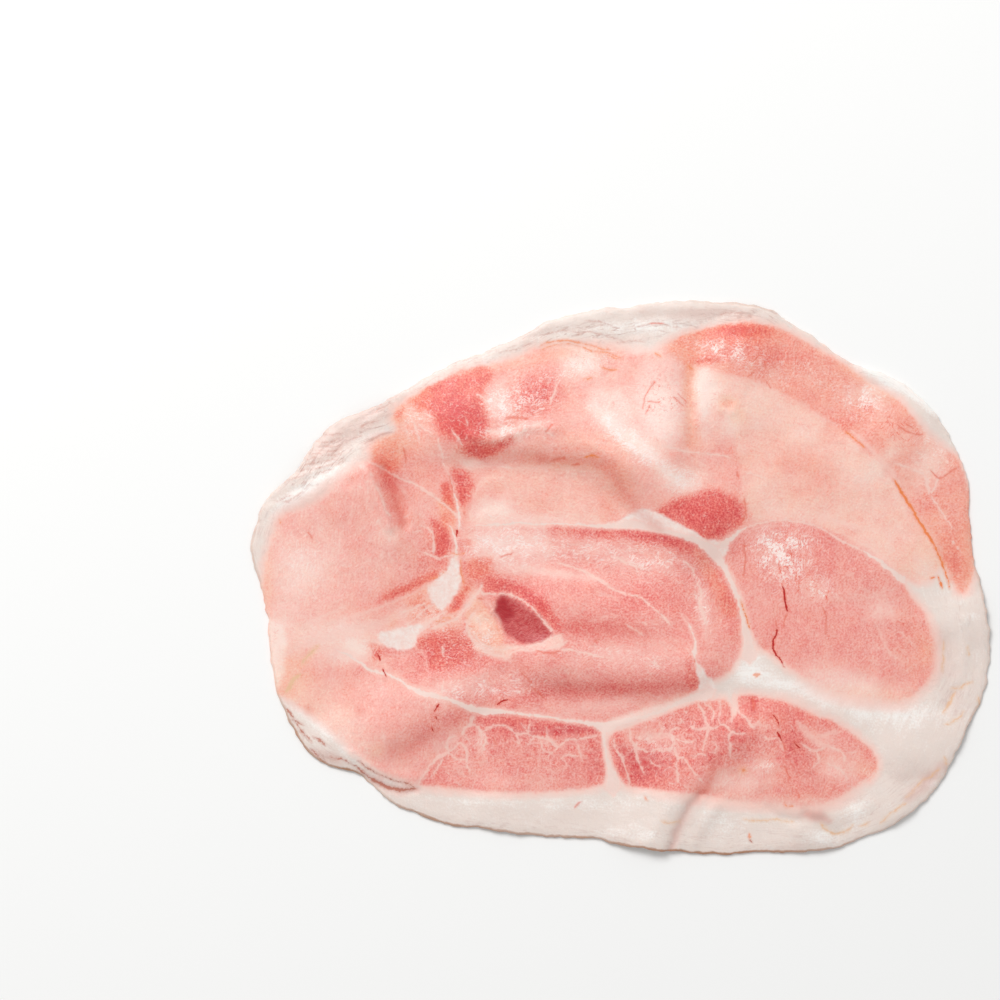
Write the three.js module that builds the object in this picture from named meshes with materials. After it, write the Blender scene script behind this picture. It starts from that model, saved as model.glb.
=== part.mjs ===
// One slice of roast ham: a thin, limp sheet cut across the whole leg, lying on a table.
// Millimetres, +Z up. The origin is the centre of the slice's box, on the table. +X runs along
// the slice's long side, and +Y towards the thick fat of its upper edge.
//
// The sheet rests flat on the table between soft folds. Both of its faces carry the same grid,
// whose cells run in rings from the middle of the slice out to its rim.
import * as THREE from "three";

// ---- Driving sizes ----
const THICKNESS = 1.3; // the cut of the slicer
const RIM_THICKNESS = 0.9; // the fat's edge is softer and thinner than the meat
const RIM_RING = 0.9; // how far inside the rim the slice reaches its full thickness
const RINGS = 26; // rings of cells between the middle and the rim
const SLACK = 0.6; // a fold lower than this is pressed flat by the slice's own weight
const KNEE = 0.9; // how gently a fold leaves the table
const RIM_WAVER = 0.45; // the knife's wandering along the rim

// The rim, counter-clockwise from the lower left corner. A smooth closed curve joins the points.
const RIM = [
  [-86.2, -62.8], // the torn corner, where the fat leaves the meat
  [-71.5, -74.5],
  [-48.8, -81.0],
  [-9.8, -84.9], // the long lower fat
  [22.8, -89.4],
  [48.8, -89.1],
  [70.9, -87.5],
  [90.4, -79.0],
  [103.4, -67.6], // the round lower right corner
  [110.6, -53.3],
  [118.4, -36.4],
  [120.0, -16.3],
  [115.1, 5.9],
  [113.8, 18.9], // the waist on the right, where the meat reaches the rim
  [111.9, 36.7],
  [102.8, 53.0],
  [89.4, 65.4],
  [74.8, 69.9],
  [59.2, 81.0],
  [44.6, 88.8],
  [26.0, 90.1], // the top
  [9.8, 89.4],
  [-24.4, 83.3],
  [-34.5, 77.1], // a nick in the upper fat
  [-53.3, 70.2],
  [-79.7, 55.9],
  [-95.9, 47.8],
  [-105.4, 34.8],
  [-116.4, 23.4],
  [-120.0, 10.7], // the bulge of fat on the left
  [-116.1, -4.6],
  [-113.8, -21.8], // the bare left side
  [-110.2, -41.6],
  [-95.9, -61.1],
];

// Each fold is a soft ridge along a crest, walked from its first point to its last. Its flanks
// fall away over the widths on the left and on the right of that walk.
const FOLDS = [
  // The long fold that curls round the pale oval muscle
  {
    crest: [[-50.0, 46.0], [-24.4, 45.0], [-7.0, 42.5], [4.5, 35.0], [14.0, 24.5], [21.0, 17.0]],
    height: 5.6,
    left: 15,
    right: 5.6,
  },
  // The two folds across the middle muscle
  { crest: [[-22.0, -28.0], [-6.5, -29.6], [9.8, -30.0], [22.8, -28.5]], height: 5.0, left: 11, right: 5.2 },
  { crest: [[-22.8, -7.0], [-6.5, -9.6], [9.8, -12.0]], height: 2.9, left: 9, right: 5.6 },
  // Under the upper left fat
  { crest: [[-80.0, 49.0], [-80.0, 36.0], [-74.5, 18.0]], height: 3.8, left: 6, right: 13 },
  // Across the lower left muscle
  { crest: [[-75.4, -48.5], [-52.7, -40.0]], height: 3.6, left: 11, right: 6 },
  // From the lower rim up into the marbled muscle, and its neighbour
  { crest: [[13.0, -86.0], [17.5, -75.0], [24.5, -63.0], [35.0, -53.0]], height: 3.5, left: 11, right: 5.2 },
  { crest: [[64.0, -77.0], [56.0, -62.0], [51.5, -48.0]], height: 3.3, left: 10, right: 5.4 },
  // The two under the top fat, with a narrow valley between them
  { crest: [[15.5, 68.0], [16.5, 54.0], [15.0, 41.0]], height: 2.6, left: 5, right: 12 },
  { crest: [[32.0, 70.0], [33.0, 56.0]], height: 2.5, left: 13, right: 4.6 },
  // Across the pale muscle on the right
  { crest: [[62.0, 45.0], [78.0, 27.0], [90.0, 8.0]], height: 2.3, left: 12, right: 12 },
  // Puckers of the right and lower fat
  { crest: [[121.0, -10.0], [104.0, -15.0]], height: 2.4, left: 8, right: 6 },
  { crest: [[113.0, -50.0], [94.0, -56.0]], height: 2.6, left: 8, right: 6.5 },
  { crest: [[93.0, -80.0], [84.0, -70.0]], height: 2.0, left: 5, right: 6 },
  { crest: [[-34.0, -83.0], [-36.0, -72.0]], height: 1.8, left: 9, right: 7 },
  // Puckers of the upper fat
  { crest: [[-104.0, 34.0], [-92.0, 30.0]], height: 2.1, left: 9, right: 9 },
  { crest: [[44.0, 89.0], [42.0, 76.0]], height: 1.9, left: 7, right: 7 },
  { crest: [[99.0, 55.0], [88.0, 46.0]], height: 2.0, left: 9, right: 9 },
  // The flap of meat that stands over the torn fat
  { crest: [[-95.0, -53.5], [-80.5, -62.0], [-68.0, -66.0]], height: 2.3, left: 9, right: 2.6 },
  // The broad swell of the left muscle
  { crest: [[-100.0, 4.0], [-84.0, -8.0]], height: 2.1, left: 20, right: 20 },
];

// Long, low waves that lie over the whole sheet: [height, waves per metre in X and in Y, turn]
const SWELLS = [
  [0.34, 19, 11, 0.4],
  [0.26, -13, 23, 2.1],
  [0.18, 31, 17, 4.4],
];

const CREST_STEPS = 24; // straight pieces that a crest is measured along
const RIM_STEPS = 2400; // straight pieces that the rim is measured along
const SLOPE_STEP = 0.5; // the reach over which a slope is measured

// ---- The rim ----

// Points an equal way apart along the rim, each pushed in or out by the waver.
function rimStations(count) {
  const corners = RIM.map(([x, y]) => new THREE.Vector3(x, y, 0));
  const curve = new THREE.CatmullRomCurve3(corners, true, "centripetal");
  curve.arcLengthDivisions = RIM_STEPS;
  const stations = [];
  for (let i = 0; i < count; i++) {
    const share = i / count;
    const turn = 2 * Math.PI * share;
    const waver =
      0.5 * Math.sin(23 * turn) + 0.3 * Math.sin(38 * turn + 1.3) + 0.2 * Math.sin(57 * turn + 4.1);
    const tangent = curve.getTangentAt(share);
    const outward = new THREE.Vector2(tangent.y, -tangent.x);
    const at = curve.getPointAt(share);
    stations.push(new THREE.Vector2(at.x, at.y).addScaledVector(outward, RIM_WAVER * waver));
  }
  return stations;
}

// ---- The folds ----

function crestLine(points) {
  const corners = points.map(([x, y]) => new THREE.Vector3(x, y, 0));
  return new THREE.CatmullRomCurve3(corners).getPoints(CREST_STEPS);
}

const CRESTS = FOLDS.map((fold) => crestLine(fold.crest));

// Where a point lies by a crest: how far to its left, or right if negative, and how far past its end.
function byCrest(line, x, y) {
  let best = Infinity;
  let place = { leftward: 0, beyond: 0 };
  for (let i = 0; i + 1 < line.length; i++) {
    const length = line[i].distanceTo(line[i + 1]);
    const dx = (line[i + 1].x - line[i].x) / length;
    const dy = (line[i + 1].y - line[i].y) / length;
    const px = x - line[i].x;
    const py = y - line[i].y;
    const ahead = px * dx + py * dy;
    const leftward = dx * py - dy * px;
    const gap = ahead - THREE.MathUtils.clamp(ahead, 0, length);
    const away = Math.hypot(leftward, gap);
    if (away >= best) continue;
    best = away;
    const pastEnd = (i === 0 && gap < 0) || (i + 2 === line.length && gap > 0);
    place = pastEnd
      ? { leftward, beyond: Math.abs(gap) }
      : { leftward: Math.sign(leftward) * away, beyond: 0 };
  }
  return place;
}

// How high the underside of the sheet stands above the table.
function lift(x, y) {
  let height = -SLACK;
  FOLDS.forEach((fold, i) => {
    const { leftward, beyond } = byCrest(CRESTS[i], x, y);
    const flank = leftward / (leftward > 0 ? fold.left : fold.right);
    const end = beyond / (0.5 * (fold.left + fold.right));
    height += fold.height * Math.exp(-0.5 * (flank ** 2 + end ** 2));
  });
  for (const [swell, alongX, alongY, turn] of SWELLS) {
    height += swell * Math.sin((2 * Math.PI * (alongX * x + alongY * y)) / 1000 + turn);
  }
  return height > 0 ? height ** 2 / (height + KNEE) : 0;
}

// The way that the sheet faces.
function facing(x, y) {
  const slopeX = (lift(x + SLOPE_STEP, y) - lift(x - SLOPE_STEP, y)) / (2 * SLOPE_STEP);
  const slopeY = (lift(x, y + SLOPE_STEP) - lift(x, y - SLOPE_STEP)) / (2 * SLOPE_STEP);
  return new THREE.Vector3(-slopeX, -slopeY, 1).normalize();
}

// ---- The sheet ----

// How far out a ring lies, from 0 in the middle to 1 at the rim. The last ring is a narrow one.
function ringReach(ring, halfWidth) {
  const full = 1 - RIM_RING / halfWidth;
  return ring === RINGS ? 1 : (full * ring) / (RINGS - 1);
}

// The place of a grid corner. column and row run from -RINGS to RINGS, and the ring that they
// lie on is a smaller copy of the rim.
function placeOf(column, row, stations) {
  const ring = Math.max(Math.abs(column), Math.abs(row));
  if (ring === 0) return new THREE.Vector2(0, 0);
  let side; // 0 to 3, counter-clockwise from the lower side
  let along; // 0 to 2, in halves of that side
  if (row === -ring) [side, along] = [0, 1 + column / ring];
  else if (column === ring) [side, along] = [1, 1 + row / ring];
  else if (row === ring) [side, along] = [2, 1 - column / ring];
  else [side, along] = [3, 1 - row / ring];
  const share = (side + along / 2) / 4;
  const at = (share * stations.length) % stations.length;
  const low = Math.floor(at);
  const place = stations[low].clone().lerp(stations[(low + 1) % stations.length], at - low);
  return place.multiplyScalar(ringReach(ring, place.length()));
}

function sheetGeometry() {
  const across = 2 * RINGS + 1;
  const stations = rimStations(8 * RINGS);
  const bottom = [];
  const top = [];
  for (let row = -RINGS; row <= RINGS; row++) {
    for (let column = -RINGS; column <= RINGS; column++) {
      const { x, y } = placeOf(column, row, stations);
      const onRim = Math.max(Math.abs(column), Math.abs(row)) === RINGS;
      const foot = new THREE.Vector3(x, y, lift(x, y));
      bottom.push(foot);
      top.push(foot.clone().addScaledVector(facing(x, y), onRim ? RIM_THICKNESS : THICKNESS));
    }
  }
  const corners = [...bottom, ...top];
  const positions = new Float32Array(corners.flatMap((corner) => corner.toArray()));

  const faces = [];
  const layer = bottom.length;
  for (let j = 0; j + 1 < across; j++) {
    for (let i = 0; i + 1 < across; i++) {
      const [a, b] = [j * across + i, j * across + i + 1];
      const [c, d] = [b + across, a + across];
      // Each cell is cut towards the middle of the slice, so that no cell on a corner is flat.
      const risesOutward = (i < RINGS) === (j < RINGS);
      const halves = risesOutward ? [[a, b, c], [a, c, d]] : [[a, b, d], [b, c, d]];
      for (const [p, q, r] of halves) {
        faces.push(p + layer, q + layer, r + layer);
        faces.push(p, r, q);
      }
    }
  }

  // The wall round the rim, walked counter-clockwise
  const wall = [];
  for (let i = 0; i < across - 1; i++) wall.push(i);
  for (let j = 0; j < across - 1; j++) wall.push(j * across + across - 1);
  for (let i = across - 1; i > 0; i--) wall.push((across - 1) * across + i);
  for (let j = across - 1; j > 0; j--) wall.push(j * across);
  wall.forEach((from, i) => {
    const to = wall[(i + 1) % wall.length];
    faces.push(from, to, to + layer);
    faces.push(from, to + layer, from + layer);
  });

  const geometry = new THREE.BufferGeometry();
  geometry.setAttribute("position", new THREE.BufferAttribute(positions, 3));
  geometry.setIndex(faces);
  geometry.computeBoundingBox();
  const centre = geometry.boundingBox.getCenter(new THREE.Vector3());
  geometry.translate(-centre.x, -centre.y, -geometry.boundingBox.min.z);
  geometry.computeVertexNormals();
  return geometry;
}

const hamMeat = new THREE.MeshStandardMaterial({ color: 0xeca598, roughness: 0.42, metalness: 0 });

const slice = new THREE.Mesh(sheetGeometry(), hamMeat);
slice.name = "ham_slice";

const ham = new THREE.Group();
ham.add(slice);

export default ham;
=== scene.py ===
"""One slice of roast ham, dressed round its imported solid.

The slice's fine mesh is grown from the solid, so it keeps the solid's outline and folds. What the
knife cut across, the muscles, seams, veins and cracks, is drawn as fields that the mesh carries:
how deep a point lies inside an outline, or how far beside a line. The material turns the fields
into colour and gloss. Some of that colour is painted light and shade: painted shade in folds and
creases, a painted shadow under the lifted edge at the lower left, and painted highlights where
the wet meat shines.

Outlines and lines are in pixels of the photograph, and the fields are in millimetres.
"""
import math

import bmesh
import bpy
import numpy as np
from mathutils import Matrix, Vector
from mathutils.kdtree import KDTree


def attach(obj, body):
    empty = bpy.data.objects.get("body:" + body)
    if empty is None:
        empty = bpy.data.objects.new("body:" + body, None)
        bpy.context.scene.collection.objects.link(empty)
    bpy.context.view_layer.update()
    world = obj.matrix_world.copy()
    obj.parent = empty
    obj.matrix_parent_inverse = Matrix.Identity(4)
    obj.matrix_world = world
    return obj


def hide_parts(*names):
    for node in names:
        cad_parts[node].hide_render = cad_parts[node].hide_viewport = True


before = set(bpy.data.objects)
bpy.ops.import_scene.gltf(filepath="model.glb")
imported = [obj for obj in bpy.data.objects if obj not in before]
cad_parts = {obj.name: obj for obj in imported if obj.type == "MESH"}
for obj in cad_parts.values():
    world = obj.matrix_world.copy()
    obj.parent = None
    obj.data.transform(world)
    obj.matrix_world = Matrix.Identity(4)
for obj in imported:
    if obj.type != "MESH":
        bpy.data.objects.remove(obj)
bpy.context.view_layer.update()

# ---- Scale ----
MM = 0.001
PIXEL = 0.3252 * MM  # what a pixel of the photograph spans on the slice
PIXEL_MM = PIXEL / MM
SLICE_PX = (620, 578)  # the pixel over the middle of the slice
PHOTO_PX = 1000  # the photograph's side

# ---- Outlines of the meat, round which all is fat ----
MEAT = {
    "main": [
        (262, 592), (263, 578), (265, 562), (270, 546), (275, 530), (281, 517), (296, 510), (318, 501),
        (335, 486), (350, 472), (362, 464), (370, 459), (370, 449), (375, 441), (384, 437), (394, 433),
        (397, 427), (392, 420), (394, 412), (402, 404), (412, 397), (425, 388), (440, 381), (455, 371),
        (480, 366), (500, 363), (521, 356), (534, 349), (560, 346), (600, 346), (620, 350), (636, 354),
        (648, 354), (657, 351), (668, 343), (680, 336), (692, 332), (718, 326), (745, 322), (772, 326),
        (786, 331), (800, 338), (815, 348), (842, 363), (868, 382), (895, 398), (904, 406), (914, 419),
        (930, 437), (948, 451), (958, 458), (963, 470), (967, 485), (973, 505), (976, 530), (975, 560),
        (970, 582), (966, 591), (958, 593), (953, 584), (948, 574), (942, 566), (936, 571), (929, 579),
        (917, 582), (905, 579), (885, 572), (850, 562), (800, 552), (760, 545), (735, 546), (722, 552),
        (730, 568), (738, 590), (742, 612), (742, 635), (740, 653), (733, 665), (722, 676), (712, 680),
        (700, 688), (685, 696), (668, 702), (645, 709), (625, 715), (607, 722), (602, 735), (603, 752),
        (606, 770), (602, 783), (590, 787), (560, 790), (530, 792), (500, 792), (470, 790), (445, 788),
        (428, 786), (417, 785), (405, 780), (392, 776), (378, 769), (365, 759), (352, 748), (341, 738),
        (330, 728), (316, 717), (301, 707), (288, 699), (280, 694), (270, 690), (258, 670), (256, 640),
        (254, 610),
    ],
    "round": [
        (722, 552), (726, 542), (736, 535), (748, 527), (765, 522), (785, 521), (805, 523), (830, 532),
        (850, 543), (868, 552), (885, 564), (900, 580), (912, 597), (925, 615), (932, 634), (935, 652),
        (933, 670), (924, 686), (910, 698), (896, 702), (878, 700), (850, 696), (828, 690), (808, 680),
        (790, 669), (772, 655), (758, 646), (750, 628), (743, 603), (734, 580), (727, 566),
    ],
    "marbled": [
        (609, 737), (616, 731), (628, 728), (640, 722), (656, 717), (672, 710), (688, 704), (700, 700),
        (714, 699), (724, 699), (730, 706), (734, 715), (737, 707), (736, 698), (742, 694), (766, 697),
        (785, 701), (800, 707), (812, 714), (828, 719), (842, 726), (853, 733), (862, 741), (871, 749),
        (876, 758), (877, 767), (872, 777), (858, 785), (846, 793), (837, 800), (820, 804), (800, 806),
        (780, 804), (755, 803), (735, 801), (715, 798), (700, 795), (685, 793), (665, 791), (645, 788),
        (628, 786), (620, 778), (613, 765), (609, 752), (607, 744),
    ],
}

# ---- Patches of fat inside the meat ----
FAT_PATCHES = [
    # Where the seams meet beside the left muscle
    [
        (450, 559), (456, 556), (460, 562), (461, 574), (461, 585), (457, 593), (451, 600), (446, 608),
        (441, 612), (436, 606), (430, 597), (427, 590), (431, 583), (438, 576), (446, 569),
    ],
    # Between the oval muscle and the small red one
    [
        (604, 525), (616, 521), (626, 516), (633, 510), (643, 508), (654, 511), (666, 517), (680, 524),
        (694, 531), (706, 538), (722, 541), (729, 549), (716, 563), (702, 547), (690, 540), (670, 535),
        (650, 531), (625, 529), (606, 528),
    ],
    # Below the left muscle
    [
        (379, 631), (391, 629), (402, 627), (416, 624), (430, 626), (422, 631), (416, 637), (415, 646),
        (409, 650), (397, 650), (388, 646), (380, 642), (377, 636),
    ],
    # At the heart's lower right end
    [
        (696, 663), (702, 667), (707, 675), (713, 681), (714, 690), (700, 695), (697, 688), (698, 680),
        (695, 671),
    ],
]

# ---- Lines. A point is x, y and half width in pixels. Each list has its lines' strength first. ----
SEAM_LINES = {
    "seams": (1.0, [
        # Over the heart and down beside it
        [(476, 525, 0.8), (500, 524, 1.6), (520, 523, 1.5), (540, 524, 1.2), (560, 524, 1.2),
         (580, 525, 1.5), (600, 526, 2.2), (616, 526, 3.0), (634, 524, 4.4), (652, 528, 3.4),
         (670, 532, 2.4), (686, 537, 2.6), (700, 543, 4.0), (711, 550, 5.4), (719, 560, 4.2),
         (726, 572, 3.2), (732, 585, 2.9), (738, 598, 2.7), (742, 612, 3.0), (745, 628, 3.8),
         (748, 642, 5.4), (749, 656, 8.0)],
        # Between the round and the pale muscle
        [(722, 545, 4.2), (731, 538, 2.6), (741, 530, 1.3), (751, 525, 0.6)],
        [(854, 547, 0.8), (868, 554, 1.4), (881, 563, 2.1), (892, 572, 2.6), (903, 581, 4.0)],
        # From the left patch down under the heart and on to the marbled muscle
        [(334, 650, 0.4), (346, 653, 1.6), (359, 662, 1.9), (372, 670, 1.6), (386, 674, 1.6),
         (399, 679, 1.8), (411, 687, 2.2), (423, 693, 3.1), (435, 695, 3.0), (447, 698, 2.3),
         (459, 703, 2.3), (470, 707, 3.0), (482, 711, 4.0), (494, 711, 3.2), (507, 712, 1.8),
         (522, 714, 1.5), (541, 716, 1.5), (560, 719, 1.6), (580, 722, 2.0), (594, 724, 3.0),
         (607, 727, 5.0), (621, 722, 3.4), (640, 717, 2.5), (660, 711, 2.3), (680, 702, 2.8),
         (695, 697, 4.2), (710, 692, 6.0)],
        # Beside the left muscle
        [(443, 462, 0.3), (448, 472, 0.7), (452, 484, 0.7), (455, 496, 0.9), (458, 508, 1.4),
         (459, 520, 1.6), (458, 529, 1.0)],
        [(449, 524, 0.5), (454, 534, 1.3), (456, 545, 1.7), (456, 557, 2.0)],
        # Down between the two lower muscles
        [(605, 726, 4.0), (604, 738, 1.8), (606, 752, 1.7), (609, 765, 2.6), (612, 775, 4.6),
         (613, 788, 8.0)],
        # Within the heart's right end
        [(681, 614, 0.3), (687, 623, 0.8), (692, 633, 1.0), (695, 643, 1.6), (693, 651, 2.0),
         (695, 660, 1.2), (699, 668, 2.0)],
    ]),
}

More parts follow.
